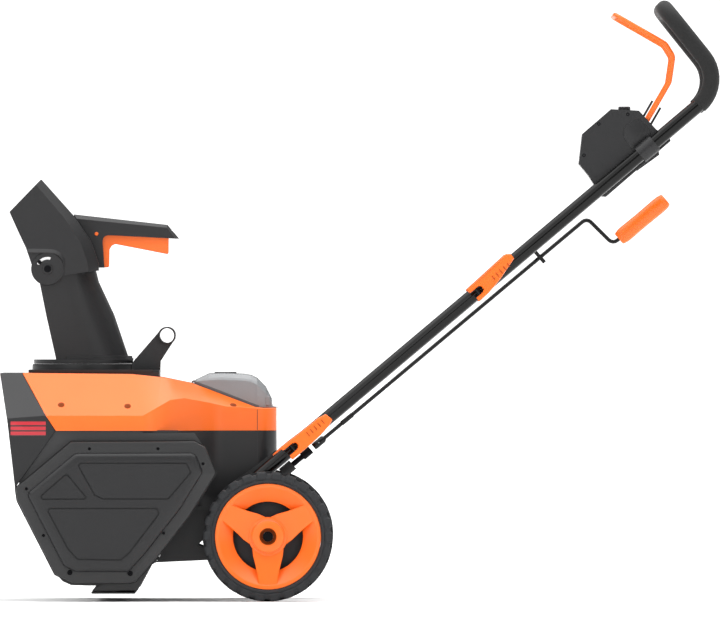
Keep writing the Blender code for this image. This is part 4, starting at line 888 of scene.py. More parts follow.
# ---------------------------------------------------------------- side covers
@dataclass
class SideCover:
    """Six-sided dished cover with a dark border, a raised plateau and sunk panels."""

    side: Side
    node: str
    border_drop: float = 6.0 * MM
    border_width: float = 18.0 * MM
    groove_width: float = 2.2 * MM
    groove_depth: float = 3.2 * MM
    outline: tuple[Point, ...] = (
        (-0.5496, 0.1816), (-0.4610, 0.2555), (-0.2640, 0.2563), (-0.2466, 0.2470), (-0.2296, 0.2056),
        (-0.2723, 0.1370), (-0.3294, 0.0642), (-0.3580, 0.0328), (-0.3690, 0.0296), (-0.4580, 0.0296),
        (-0.4866, 0.0442), (-0.5466, 0.1613),
    )
    panels: tuple[tuple[Point, ...], ...] = (
        ((-0.4456, 0.2227), (-0.2760, 0.2227), (-0.2680, 0.2070), (-0.3050, 0.1635), (-0.4100, 0.1635),
         (-0.4238, 0.1698), (-0.4509, 0.2184)),
        ((-0.4680, 0.2064), (-0.4352, 0.1670), (-0.4390, 0.1632), (-0.5080, 0.1632), (-0.5100, 0.1698)),
        ((-0.4968, 0.1504), (-0.3224, 0.1504), (-0.3195, 0.1398), (-0.3666, 0.0784), (-0.3810, 0.0660),
         (-0.4509, 0.0670), (-0.4666, 0.0842), (-0.4986, 0.1442)),
    )
    screws: tuple[tuple[float, float, float], ...] = (
        (-0.4315, 0.2446, 2.6 * MM), (-0.3221, 0.2446, 2.6 * MM), (-0.2501, 0.2206, 2.6 * MM),
        (-0.5323, 0.1806, 2.6 * MM), (-0.5051, 0.1061, 2.6 * MM), (-0.3130, 0.1098, 2.6 * MM),
        (-0.4629, 0.0470, 4.4 * MM), (-0.3666, 0.0456, 4.4 * MM),
    )

    def build(self) -> None:
        """Builds the border, the plateau with its grooves, and the screws."""
        low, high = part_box(self.node)
        self.sign = self.side.value
        self.back, self.front = (high.y, low.y) if self.side is Side.LEFT else (low.y, high.y)
        self.level = self.front - self.sign * self.border_drop
        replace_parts(self.border(), self.node)
        self.plateau()
        self.fixings()

    def rings(self, steps: Sequence[tuple[float, float]], radius: float) -> list[list[Vector]]:
        """Loops of the cover's outline, each inset and at its own Y."""
        return [[Vector((x, y, z)) for x, z in rounded(inset(self.outline, d), radius)] for d, y in steps]

    def border(self) -> bpy.types.Object:
        """Builds the dark border with a well round each screw.

        Returns:
            The border piece.
        """
        shape = bmesh.new()
        loft(shape, self.rings([(0.0, self.back), (0.0, self.level - self.sign * 2.4 * MM),
                                (0.7 * MM, self.level - self.sign * 0.7 * MM), (2.4 * MM, self.level),
                                (self.border_width + 2.0 * MM, self.level)], 5 * MM))
        wells = bmesh.new()
        for x, z, radius in self.screws:
            spin(wells, [(radius, -2.4 * MM), (radius, 2.0 * MM)], Vector((x, self.level, z)),
                 Vector((0, self.sign, 0)), count=20)
        return fit(f"cover_border_{self.side.word}", carve(shape, wells), BORDER_PP, "chassis")

    def plateau(self) -> None:
        """Builds the raised plateau, cut by a groove round each of its panels."""
        sign, width, face = self.sign, self.border_width, self.front
        shape = bmesh.new()
        loft(shape, self.rings([(width, self.level - sign * 1.0 * MM), (width, self.level + sign * 0.6 * MM),
                                (width + 1.2 * MM, face - sign * 3.0 * MM), (width + 3.0 * MM, face - sign * 1.2 * MM),
                                (width + 6.5 * MM, face)], 12 * MM))
        for outline in self.panels:
            groove = bmesh.new()
            loops = [(0.0, 1.0 * MM), (0.0, -self.groove_depth), (self.groove_width, -self.groove_depth),
                     (self.groove_width, 1.0 * MM)]
            loft(groove, [[Vector((x, face + sign * y, z)) for x, z in rounded(inset(outline, d), 4 * MM)]
                          for d, y in loops], Ends.JOINED)
            shape = carve(shape, groove)
        fit(f"cover_plateau_{self.side.word}", shape, BLACK_PP, "chassis")

    def fixings(self) -> None:
        """Adds the screws and a black strip behind the cover's edge that paints the shadow gap as a line round the
        cover.
        """
        heads = bmesh.new()
        for x, z, radius in self.screws:
            spot = Vector((x, self.level - self.sign * 1.4 * MM, z))
            add_screw(heads, spot, Vector((0, self.sign, 0)), radius - 0.4 * MM)
        fit(f"cover_screws_{self.side.word}", heads, BLACK_OXIDE, "chassis")
        # Near-black strip just outside the cover's outline: painted shadow of the gap round the cover.
        shadow_gap = bmesh.new()
        loft(shadow_gap, self.rings([(-1.9 * MM, self.back + self.sign * 0.2 * MM),
                                 (-1.9 * MM, self.back + self.sign * 4.6 * MM),
                                 (4.0 * MM, self.back + self.sign * 4.6 * MM)], 5 * MM))
        fit(f"cover_gasket_{self.side.word}", shadow_gap, DEEP_BLACK, "chassis")


# ---------------------------------------------------------------- body
@dataclass
class Body:
    """Orange cover, black hood and housings, with their screws, seam and label."""

    screw_spots: tuple[Point, ...] = ((-0.3709, 0.3126), (-0.2024, 0.3141))
    hood_screw: Point = (-0.4771, 0.3147)
    seam_x: float = -0.1638
    badge: tuple[float, float, float, float] = (-0.5578, -0.5016, 0.2648, 0.2888)
    tube_radius: float = 14.0 * MM
    well_radius: float = 5.4 * MM
    screw_radius: float = 3.2 * MM

    def build(self) -> None:
        """Dresses the shells and adds what is fixed to them."""
        dress(["upper_cover"], ORANGE_ABS, 1.4)
        dress(["front_hood", "rear_housing", "deck_plate", "carry_handle"], BLACK_PP, 1.0)
        dress(["axle_bracket_left", "axle_bracket_right", "scraper_bar"], BLACK_PP, 0.8)
        dress(["auger_housing"], BORDER_PP, 0.5)
        dress(["side_plate_left", "side_plate_right"], SATIN_BLACK, 0.5)
        for side in Side:
            self.screws(side)
            self.seam(side)
            self.cheek(side)
            self.closures(side)
        self.label()
        self.deck_skirt()
        self.tube_ends()

    def screws(self, side: Side) -> None:
        """Adds the orange screws in the cover of one side, with the shade of their recesses painted on: darker orange
        heads, each on a flat disc of the same painted shade.

        Args:
            side: which side of the machine.
        """
        heads, wells = bmesh.new(), bmesh.new()
        for x, z in (self.hood_screw, *self.screw_spots):
            start = Vector((x, side.value * 0.5, z))
            spot, normal = surface("upper_cover", start, Vector((0, -side.value, 0)))
            add_screw(heads, spot + normal * 0.2 * MM, normal, self.screw_radius, 0.4 * MM)
            spin(wells, [(self.well_radius, -0.8 * MM), (self.well_radius, 0.1 * MM),
                         (self.well_radius - 0.4 * MM, 0.25 * MM), (0.6 * MM, 0.25 * MM)],
                 spot, normal, count=24)
        # Heads and discs are darker orange: painted shade of the screw recesses.
        fit(f"cover_screws_orange_{side.word}", heads, DEEP_ORANGE, "chassis")
        fit(f"cover_wells_{side.word}", wells, DEEP_ORANGE, "chassis")

    def cheek(self, side: Side) -> None:
        """Adds the cheek that joins the scraper bar to one side plate.

        Args:
            side: which side of the machine.
        """
        outline = [(-0.4208, 0.0262), (-0.4277, 0.0175), (-0.3549, 0.0182), (-0.3330, 0.0590),
                   (-0.3225, 0.0640), (-0.3320, 0.0760), (-0.3600, 0.0640),
                   (-0.4100, 0.0300)]
        shape = bmesh.new()
        slab(shape, outline, side.value * 0.2545, side.value * 0.2579, 0.6 * MM)
        fit(f"scraper_cheek_{side.word}", shape, BORDER_PP, "chassis")

    def closures(self, side: Side) -> None:
        """Adds the strips that close the joints between the shells of one side.

        Args:
            side: which side of the machine.
        """
        shape = bmesh.new()
        y = side.value
        slab(shape, [(-0.3600, 0.2600), (-0.2900, 0.2600), (-0.2900, 0.2740), (-0.3600, 0.2740)],
             y * 0.2480, y * 0.2535)
        slab(shape, [(-0.3120, 0.1462), (-0.2420, 0.1462), (-0.2160, 0.1700), (-0.2200, 0.1720), (-0.2440, 0.1520),
                     (-0.3120, 0.1520)], y * 0.1700, y * 0.1800)
        slab(shape, [(-0.1340, 0.2418), (-0.1670, 0.2160), (-0.1966, 0.1950), (-0.2200, 0.1760), (-0.2060, 0.1640),
                     (-0.1340, 0.2240)], y * 0.1500, y * 0.1790)
        slab(shape, [(-0.3655, 0.3700), (-0.3210, 0.3700), (-0.3210, 0.3730), (-0.3500, 0.3885), (-0.3600, 0.3885),
                     (-0.3655, 0.3800)], y * 0.0686, y * 0.0714)
        fit(f"joint_strips_{side.word}", shape, BORDER_PP, "chassis")

    def tube_ends(self) -> None:
        """Adds the thick rings where the carry handle's tube meets its lugs."""
        _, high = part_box("carry_handle")
        radius = self.tube_radius
        centre = Vector((high.x - radius, 0.0, high.z - radius))
        shape = bmesh.new()
        for sign in (-1, 1):
            spin(shape, [(radius, 68.5 * MM), (radius, high.y), (radius - 0.6 * MM, high.y + 0.5 * MM),
                         (radius - 1.8 * MM, high.y + 0.5 * MM), (radius - 2.2 * MM, high.y),
                         (radius - 2.2 * MM, 68.5 * MM)],
                 centre, Vector((0, sign, 0)), count=48, ends=Ends.JOINED)
        fit("handle_rings", shape, DEEP_BLACK, "chassis")

    def deck_skirt(self) -> None:
        """Adds the skirt that closes the wedge between the deck plate and the cover's roof."""
        shape = bmesh.new()
        outline = [(-0.5295, 0.3668), (-0.3214, 0.3668), (-0.3214, 0.3560), (-0.3700, 0.3610), (-0.5295, 0.3640)]
        for sign in (-1, 1):
            slab(shape, outline, sign * 0.1440, sign * 0.1492)
        slab(shape, [(-0.3290, 0.3668), (-0.3214, 0.3668), (-0.3214, 0.3560), (-0.3290, 0.3560)], -0.1445, 0.1445)
        fit("deck_skirt", shape, BORDER_PP, "chassis")

    def seam(self, side: Side) -> None:
        """Adds the shut line where the flank turns into the tail.

        Args:
            side: which side of the machine.
        """
        shape = bmesh.new()
        tops = {"upper_cover": (0.2745, 0.3070), "rear_housing": (0.2260, 0.2720)}
        for node, (bottom, top) in tops.items():
            loops = []
            for i in range(5):
                z = bottom + (top - bottom) * i / 4
                spot, _ = surface(node, Vector((self.seam_x, side.value * 0.5, z)),
                                  Vector((0, -side.value, 0)))
                across = Vector((0.45 * MM, 0, 0))
                rise = Vector((0, side.value * 0.12 * MM, 0))
                sink = Vector((0, -side.value * 0.6 * MM, 0))
                loops.append([spot - across + sink, spot - across + rise, spot + across + rise,
                              spot + across + sink])
            loft(shape, loops)
        fit(f"tail_seam_{side.word}", shape, BORDER_PP, "chassis")

    def label(self) -> None:
        """Adds the plain red label on the hood's left flank."""
        x0, x1, z0, z1 = self.badge
        spot, _ = surface("front_hood", Vector(((x0 + x1) / 2, -0.5, (z0 + z1) / 2)), Vector((0, 1, 0)))
        shape = bmesh.new()
        outline = rounded([(x0, z0), (x1, z0), (x1, z1), (x0, z1)], 2 * MM)
        slab(shape, outline, spot.y + 0.4 * MM, spot.y - 0.4 * MM, 0.2 * MM)
        fit("hood_label", shape, BADGE, "chassis")


# ---------------------------------------------------------------- battery bay
@dataclass
class BatteryBay:
    """Smoked lid with its rim and latch, over the packs and their tray."""

    rim_height: float = 3.6 * MM
    crown: tuple[tuple[float, float, float], ...] = (
        (-0.2656, 0.3530, 0.1150), (-0.2600, 0.3566, 0.1166), (-0.2420, 0.3648, 0.1170), (-0.2200, 0.3657, 0.1170),
        (-0.1860, 0.3641, 0.1170), (-0.1740, 0.3622, 0.1170), (-0.1641, 0.3572, 0.1168), (-0.1502, 0.3430, 0.1130),
        (-0.1408, 0.3240, 0.1080), (-0.1396, 0.3140, 0.1060),
    )
    seat_line: tuple[Point, ...] = ((-0.2660, 0.3500), (-0.1638, 0.3104), (-0.1380, 0.3098))

    def seat(self, x: float) -> float:
        """Height of the lid's lower edge.

        Args:
            x: distance along the machine.

        Returns:
            The height of the edge there.
        """
        for (x0, z0), (x1, z1) in zip(self.seat_line, self.seat_line[1:]):
            if x <= x1:
                return z0 + (z1 - z0) * (x - x0) / (x1 - x0)
        return self.seat_line[-1][1]

    def lid(self) -> None:
        """Builds the faceted lid as one shell with its finger tab."""
        loops = []
        for x, top, half in self.crown:
            seat = self.seat(x)
            tall = top - seat
            drop = min(11.0 * MM, tall * 0.5)
            left = [(-half, seat), (-half, seat + tall * 0.4), (-half, top - drop),
                    (-half + 2.4 * MM, top - 0.68 * drop),
                    (-half + 13.0 * MM, top - 0.10 * drop), (-half + 20.0 * MM, top)]
            outer = left + [(-y, z) for y, z in left[::-1]]
            inner = [(y * 0.975, seat + (z - seat) * 0.92) for y, z in outer[::-1]]
            loops.append([Vector((x, y, z)) for y, z in outer + inner])
        shape = bmesh.new()
        loft(shape, loops)
        slab(shape, [(-0.1415, 0.3098), (-0.1304, 0.3098), (-0.1304, 0.3110), (-0.1415, 0.3116)], -0.0300, 0.0300)
        ease(shape, 0.6 * MM, crease=16.0)
        piece = fit("lid_shell", shape, SMOKED_PC, "lid", smooth=14.0)
        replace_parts(piece, "battery_lid")

    def build(self) -> None:
        """Dresses the bay and adds the lid's fittings."""
        dress(["battery_pack_left", "battery_pack_right"], PACK_PC, 1.6)
        dress(["battery_tray"], BLACK_PP, 0.8)
        dress(["lid_hinge_pin"], ZINC, 0.0)
        self.lid()
        self.rim()
        self.tab()
        for side in Side:
            self.pack_marks(side)

    def rim(self) -> None:
        """Adds the dark sealing strip along the lid's lower edge."""
        low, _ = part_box("battery_lid")
        line = [(-0.2650, 0.1172), (-0.2200, 0.1172), (-0.1640, 0.1172), (-0.1540, 0.1112), (-0.1400, 0.1004)]
        shape = bmesh.new()
        for sign in (-1, 1):
            loops = []
            for x, half in line:
                y, z = sign * half, self.seat(x)
                foot = z - (3.4 * MM if x < -0.1600 else 0.6 * MM)
                loops.append([Vector((x, y - sign * 2.0 * MM, foot)), Vector((x, y + sign * 0.5 * MM, foot)),
                              Vector((x, y + sign * 0.5 * MM, z + self.rim_height * 0.8)),
                              Vector((x, y, z + self.rim_height)),
                              Vector((x, y - sign * 2.0 * MM, z + self.rim_height))])
            loft(shape, loops)
        for x, z, thick in ((low.x + 0.2 * MM, 0.3508, 1.2 * MM),):
            half = 0.1100
            loops = [[Vector((x - thick, y, z)), Vector((x + thick, y, z)),
                      Vector((x + thick, y, z + self.rim_height * 0.7)),
                      Vector((x - thick, y, z + self.rim_height * 0.7))] for y in (-half, half)]
            loft(shape, loops)
        fit("lid_rim", shape, LID_EDGE, "lid")

    def tab(self) -> None:
        """Adds the raised pad on the lid's crown and a small pad on each of its sides."""
        _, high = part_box("battery_lid")
        shape = bmesh.new()
        outline = rounded([(-0.2330, -0.0420), (-0.1980, -0.0420), (-0.1980, 0.0420), (-0.2330, 0.0420)], 4 * MM)
        loops = [[Vector((x, y, z)) for x, y in inset(outline, d)]
                 for d, z in ((0.0, high.z - 1.5 * MM), (0.0, high.z + 0.6 * MM), (0.8 * MM, high.z + 1.2 * MM))]
        loft(shape, loops)
        fit("lid_pad", shape, PACK_PC, "lid")
        latch = bmesh.new()
        outline = [(-0.1508, 0.3130), (-0.1436, 0.3130), (-0.1436, 0.3290), (-0.1508, 0.3290)]
        for sign in (-1, 1):
            loft(latch, [[Vector((x, sign * y, z)) for x, z in rounded(inset(outline, d), 2.8 * MM)]
                         for d, y in ((0.0, 0.1020), (0.0, 0.1130), (0.8 * MM, 0.1140))])
        fit("lid_latches", latch, SMOKED_PC, "lid")

    def pack_marks(self, side: Side) -> None:
        """Adds grip ribs on top of one battery pack.

        Args:
            side: which side of the machine.
        """
        low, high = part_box(f"battery_pack_{side.word}")
        shape = bmesh.new()
        for i in range(5):
            x = low.x + (0.030 + 0.010 * i)
            loops = [[Vector((x + dx * MM, y, high.z + dz * MM))
                      for dx, dz in ((-2, -1), (2, -1), (1.2, 1), (-1.2, 1))]
                     for y in (low.y + 0.015, high.y - 0.015)]
            loft(shape, loops)
        ease(shape, 0.4 * MM)
        fit(f"pack_ribs_{side.word}", shape, PACK_PC, "chassis")


# ---------------------------------------------------------------- chute
@dataclass
class Chute:
    """Discharge chute, deflector hood and their fittings."""

    pivot: Point = (-0.5010, 0.5325)
    ear_radius: float = 25.0 * MM
    slot_radius: float = 17.6 * MM
    skirt_levels: tuple[tuple[float, float], ...] = (
        (0.3868, 4.4), (0.3890, 4.4), (0.3894, 2.6), (0.3926, 2.4), (0.3930, -1.0),
    )

    def build(self) -> None:
        """Dresses the chute's nodes and adds skirts, ears and pins."""
        dress(["discharge_chute", "deflector"], BLACK_PP, 1.0)
        dress(["chute_ring_gear"], BORDER_PP, 0.0)
        dress(["drive_pinion", "stub_shaft", "pivot_bolt_left", "pivot_bolt_right"], BLACK_OXIDE, 0.0)
        self.skirt()
        self.guard()
        self.grip()
        for side in Side:
            self.ear(side)
            self.ridge(side)
        self.trigger_pin()

    def skirt(self) -> None:
        """Adds the stepped skirt round the chute's foot."""
        shape = bmesh.new()
        loops = []
        for z, out in self.skirt_levels:
            front, rear, half = -0.4700, -0.3680 + out * MM, 0.0640 + out * MM
            outline = [(front, -half)]
            depth = half
            for i in range(17):
                angle = math.radians(-90 + 180 * i / 16)
                outline.append((rear - depth + depth * math.cos(angle), half * math.sin(angle)))
            outline.append((front, half))
            loops.append([Vector((x, y, z)) for x, y in outline])
        loft(shape, loops)
        inner = bmesh.new()
        front, rear, half = -0.4835, -0.3710, 0.0610
        outline = [(front, -half)]
        for i in range(17):
            angle = math.radians(-90 + 180 * i / 16)
            outline.append((rear - half + half * math.cos(angle), half * math.sin(angle)))
        outline.append((front, half))
        loft(inner, [[Vector((x, y, z)) for x, y in outline] for z in (0.3800, 0.4000)])
        fit("chute_skirt", carve(shape, inner), BLACK_PP, "chute")

    def guard(self) -> None:
        """Adds the fixed guard round the ring gear, open where the pinion meshes."""
        shape = bmesh.new()
        loops = []
        for i in range(81):
            angle = math.radians(15 + 330 * i / 80)
            loops.append([Vector((-0.4440 + r * math.cos(angle), r * math.sin(angle), z))
                          for r, z in ((0.0803, 0.3704), (0.0824, 0.3704), (0.0824, 0.3758), (0.0818, 0.3792),
                                       (0.0812, 0.3797), (0.0803, 0.3797))])
        loft(shape, loops)
        fit("ring_guard", shape, BLACK_PP, "chassis")

    def grip(self) -> None:
        """Builds the deflector's handle with its chamfered top, and the trigger in its slot."""
        outline = [(-0.4212, 0.5346), (-0.4212, 0.5434), (-0.4332, 0.5774), (-0.4596, 0.6160), (-0.4592, 0.6204),
                   (-0.3090, 0.6036), (-0.2900, 0.5812), (-0.2946, 0.5812), (-0.4046, 0.5868), (-0.4094, 0.5850),
                   (-0.4124, 0.5816), (-0.4131, 0.5760), (-0.4104, 0.5346)]
        lowered = list(outline)
        lowered[3:7] = [(-0.4566, 0.6110), (-0.4548, 0.6134), (-0.3100, 0.5988), (-0.2960, 0.5812)]
        shape = bmesh.new()
        half, flat = 19.0 * MM, 12.0 * MM
        loft(shape, [[Vector((x, y, z)) for x, z in line]
                     for line, y in ((lowered, -half), (outline, -flat), (outline, flat), (lowered, half))])
        slot = bmesh.new()
        slab(slot, [(-0.4290, 0.5700), (-0.4330, 0.5800), (-0.4330, 0.6000), (-0.4200, 0.6060), (-0.3010, 0.5950),
                    (-0.3010, 0.5700)], -0.0130, 0.0130)
        shape = carve(shape, slot)
        ease(shape, 0.5 * MM, crease=18.0)
        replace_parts(fit("deflector_grip", shape, BLACK_PP, "deflector", smooth=25.0), "deflector_handle")
        blade = [(-0.4285, 0.5880), (-0.4280, 0.5970), (-0.4180, 0.5975), (-0.4080, 0.5890), (-0.3069, 0.5850),
                 (-0.3072, 0.5560), (-0.3930, 0.5727), (-0.3984, 0.5700), (-0.4022, 0.5640), (-0.4027, 0.5354),
                 (-0.4118, 0.5347), (-0.4136, 0.5600), (-0.4140, 0.5760), (-0.4200, 0.5850)]
        shape = bmesh.new()
        loft(shape, [[Vector((x, y, z)) for x, z in rounded(inset(blade, d), 3.0 * MM)]
                     for d, y in ((1.0 * MM, -0.0120), (0.0, -0.0110), (0.0, 0.0110), (1.0 * MM, 0.0120))])
        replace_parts(fit("trigger_blade", shape, ORANGE_ABS, "trigger"), "deflector_trigger")

    def ear(self, side: Side) -> None:
        """Adds the adjuster disc with its bolt, arc slot, pin and notches, and a white plate in the slot that paints
        the bright backdrop seen through it.

        Args:
            side: which side of the deflector.
        """
        _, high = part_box("deflector")
        face = high.y * side.value
        out = side.value
        at = Vector((self.pivot[0], face, self.pivot[1]))
        axis = Vector((0, out, 0))
        disc = bmesh.new()
        rim = self.ear_radius + 1.6 * MM
        spin(disc, [(rim, -1.5 * MM), (rim, 1.2 * MM), (rim - 0.8 * MM, 2.0 * MM), (9.0 * MM, 2.0 * MM),
                    (8.2 * MM, 3.0 * MM), (7.4 * MM, 3.2 * MM)], at, axis, count=64)
        groove = bmesh.new()
        loops = []
        for i in range(13):
            angle = math.radians(74 + 82 * i / 12)
            loops.append([Vector((self.pivot[0] + r * math.cos(angle), y, self.pivot[1] + r * math.sin(angle)))
                          for r, y in ((self.slot_radius - 2.6 * MM, face + out * 4 * MM),
                                       (self.slot_radius + 1.8 * MM, face + out * 4 * MM),
                                       (self.slot_radius + 1.8 * MM, face + out * 0.2 * MM),
                                       (self.slot_radius - 2.6 * MM, face + out * 0.2 * MM))])
        loft(groove, loops)
        disc = carve(disc, groove)
        for i in range(6):
            angle = math.radians(-62 + 14 * i)
            spin(disc, [(3.0 * MM, -1.4 * MM), (3.0 * MM, 1.4 * MM), (2.2 * MM, 2.2 * MM)],
                 at + Vector((math.cos(angle), 0, math.sin(angle))) * (self.ear_radius - 2.0 * MM), axis, count=14)
        fit(f"deflector_disc_{side.word}", disc, BLACK_PP, "deflector")
        pins = bmesh.new()
        add_screw(pins, at + axis * 3.0 * MM, axis, 5.8 * MM, 1.6 * MM)
        # White plate in the slot: painted backdrop light seen through the slot.
        scale = bmesh.new()
        loops = []
        for i in range(13):
            turn = math.radians(75 + 80 * i / 12)
            loops.append([Vector((self.pivot[0] + r * math.cos(turn), y, self.pivot[1] + r * math.sin(turn)))
                          for r, y in ((self.slot_radius - 2.5 * MM, face + out * 1.2 * MM),
                                       (self.slot_radius + 1.7 * MM, face + out * 1.2 * MM),
                                       (self.slot_radius + 1.7 * MM, face - out * 0.6 * MM),
                                       (self.slot_radius - 2.5 * MM, face - out * 0.6 * MM))])
        loft(scale, loops)
        fit(f"adjuster_plate_{side.word}", scale, BACKDROP_WHITE, "deflector")
        angle = math.radians(140)
        spot = at + Vector((math.cos(angle), 0, math.sin(angle))) * (self.slot_radius - 0.6 * MM)
        spin(pins, [(3.2 * MM, 0.4 * MM), (3.2 * MM, 4.0 * MM), (2.4 * MM, 4.8 * MM)], spot, axis, count=20)
        fit(f"deflector_pins_{side.word}", pins, BLACK_OXIDE, "deflector")

    def ridge(self, side: Side) -> None:
        """Adds the raised ridge that curls over the adjuster disc.

        Args:
            side: which side of the machine.
        """
        _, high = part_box("deflector")
        y = high.y * side.value
        line = [(-0.5335, 0.5612), (-0.5200, 0.5612), (-0.5030, 0.5610), (-0.4905, 0.5600), (-0.4815, 0.5560),
                (-0.4755, 0.5480), (-0.4735, 0.5380)]
        sizes = (3.8, 3.8, 3.8, 3.6, 3.2, 2.4, 1.2)
        out = side.value
        shape = bmesh.new()
        loops = []
        for i, ((x, z), size) in enumerate(zip(line, sizes)):
            before, after = line[max(i - 1, 0)], line[min(i + 1, len(line) - 1)]
            along = Vector((after[0] - before[0], after[1] - before[1])).normalized()
            up = Vector((-along.y, along.x)) * size * MM
            loops.append([Vector((x + up.x * rise, y + out * size * MM * reach, z + up.y * rise))
                          for rise, reach in ((1.0, -0.4), (1.0, 0.0), (-0.5, 0.95), (-0.9, 0.8), (-0.9, -0.4))])
        loft(shape, loops)
        fit(f"deflector_ridge_{side.word}", shape, BLACK_PP, "deflector")

    def trigger_pin(self) -> None:
        """Adds the orange ends of the trigger's pin."""
        _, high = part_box("deflector_handle")
        shape = bmesh.new()
        for sign in (-1, 1):
            spin(shape, [(3.0 * MM, -1.0 * MM), (3.0 * MM, 0.3 * MM), (2.2 * MM, 0.9 * MM)],
                 Vector((-0.4230, sign * high.y, 0.5890)), Vector((0, sign, 0)), count=20)
        fit("trigger_pin_ends", shape, ORANGE_ABS, "deflector")


# ---------------------------------------------------------------- handle
@dataclass
class Handle:
    """Folding tube handle with its foam grip and four cam levers."""

    angle: float = math.radians(40.12)
    lower_bolt: Point = (-0.1066, 0.2461)
    upper_bolt: Point = (0.1896, 0.4957)
    stub_y: float = 0.1900
    grip_radius: float = 13.5 * MM
    lever_shapes: ClassVar[dict[str, tuple[Point, ...]]] = {
        "lower": ((-13.0, -14.5), (-13.0, -6.5), (4.0, -6.0), (9.0, -3.0), (9.0, 3.0), (4.0, 6.0), (-14.0, 6.0),
                  (-16.0, 9.6), (-32.0, 10.4), (-32.0, 12.6), (-4.0, 12.6), (24.0, 11.2), (62.0, 10.4), (75.0, 7.4),
                  (77.5, -6.8), (66.0, -10.6), (48.0, -13.4), (20.0, -14.5)),
        "upper": ((-9.0, -13.6), (-9.0, -6.0), (5.0, -5.6), (9.4, -3.0), (9.4, 3.4), (6.0, 6.4), (-12.0, 6.4),
                  (-12.0, 14.2), (20.0, 15.4), (50.0, 16.6), (73.0, 17.6), (79.0, 12.6), (78.4, 3.4), (60.0, -1.8),
                  (43.0, -6.8), (30.0, -9.6), (12.0, -12.6)),
    }

    def build(self) -> None:
        """Dresses the tubes and builds the grip and the levers."""
        dress(["handle_stub_left", "handle_stub_right", "lower_tube_left", "lower_tube_right", "upper_handle",
               "handle_crossbar"], GLOSS_BLACK, 0.0)
        self.grip()
        for side in Side:
            self.lever(side, "lower", self.lower_bolt)
            self.lever(side, "upper", self.upper_bolt)

    def along(self, start: Point, distance: float, drop: float = 0.0) -> Point:
        """A point up the tube's line from start, and drop below it."""
        return (start[0] + math.cos(self.angle) * distance + math.sin(self.angle) * drop,
                start[1] + math.sin(self.angle) * distance - math.cos(self.angle) * drop)

    def grip(self) -> None:
        """Builds the foam sleeve round the bent top of the handle."""
        bend, top = (0.5852, 0.8290), (0.4889, 0.9493)
        foot = self.along(self.upper_bolt, -14 * MM)
        y = self.stub_y
        left = arcs([(foot[0], -y, foot[1]), (bend[0], -y, bend[1]), (top[0], -y, top[1])], 0.0560)
        corner = arcs([(bend[0], -y, bend[1]), (top[0], -y, top[1]), (top[0], y, top[1]),
                            (bend[0], y, bend[1])], 0.0420)
        half = left[1:-1] + corner[1:-1]
        path = half + [Vector((p.x, -p.y, p.z)) for p in left[1:-1]][::-1]
        lip = 1.6 * MM
        path.insert(1, path[0] + (path[1] - path[0]).normalized() * lip)
        path.insert(-1, path[-1] + (path[-2] - path[-1]).normalized() * lip)
        radii = [self.grip_radius] * len(path)
        radii[0] = radii[-1] = self.grip_radius - 0.8 * lip
        shape = bmesh.new()
        sweep(shape, path, radii, count=32)
        piece = fit("foam_sleeve", shape, GRIP_FOAM, "upper_handle", smooth=50.0)
        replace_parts(piece, "foam_grip")

    def lever(self, side: Side, place: str, spot: Point) -> None:
        """Builds one forked cam lever that lies along the tube.

        Args:
            side: which side of the machine.
            place: lower or upper.
            spot: the bolt that it sits on.
        """
        node = f"{place}_lever_{side.word}"
        low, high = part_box(node)
        outer = max(abs(low.y), abs(high.y))
        corners = [(s * MM, t * MM) for s, t in self.lever_shapes[place]]
        tip = max(s for s, _ in corners)
        outline = rounded(corners, 2.4 * MM, 3)
        faces = [(0.0, outer - 18 * MM), (0.0, outer - 2.5 * MM), (0.5 * MM, outer - 0.9 * MM), (1.4 * MM, outer)]
        shape = bmesh.new()
        loops = []
        for distance, y in faces:
            loop = []
            for s, t in inset(outline, distance):
                share = max(0.0, min(1.0, s / tip))
                depth = y - 5.5 * MM * share * share if y > outer - 10 * MM else y + 10.0 * MM * share
                x, z = self.along(spot, s, -t)
                loop.append(Vector((x, depth * side.value, z)))
            loops.append(loop)
        loft(shape, loops)
        marks = bmesh.new()
        for i in range(5):
            s = tip * (0.42 + 0.10 * i)
            face = outer - 5.5 * MM * (s / tip) ** 2
            ends = [self.along(spot, s + ds * MM, -t * MM) for ds, t in ((-0.5, -3), (0.5, -3), (0.5, 5), (-0.5, 5))]
            loft(marks, [[Vector((x, y * side.value, z)) for x, z in ends]
                         for y in (face - 0.8 * MM, face + 0.35 * MM)])
        body = f"lever_{place}_{side.word}"
        piece = fit(f"{node}_moulded", shape, ORANGE_ABS, body, smooth=30.0)
        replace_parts(piece, node)
        fit(f"{node}_marks", marks, DEEP_ORANGE, body)
        bolt = bmesh.new()
        x, z = spot
        spin(bolt, [(4.4 * MM, -4.0 * MM), (4.4 * MM, 2.2 * MM), (3.6 * MM, 3.0 * MM), (1.8 * MM, 3.0 * MM),
                    (1.6 * MM, 1.4 * MM)], Vector((x, side.value * (outer - 8.0 * MM), z)),
             Vector((0, side.value, 0)), count=24)
        fit(f"{node}_bolt", bolt, BLACK_OXIDE, body)


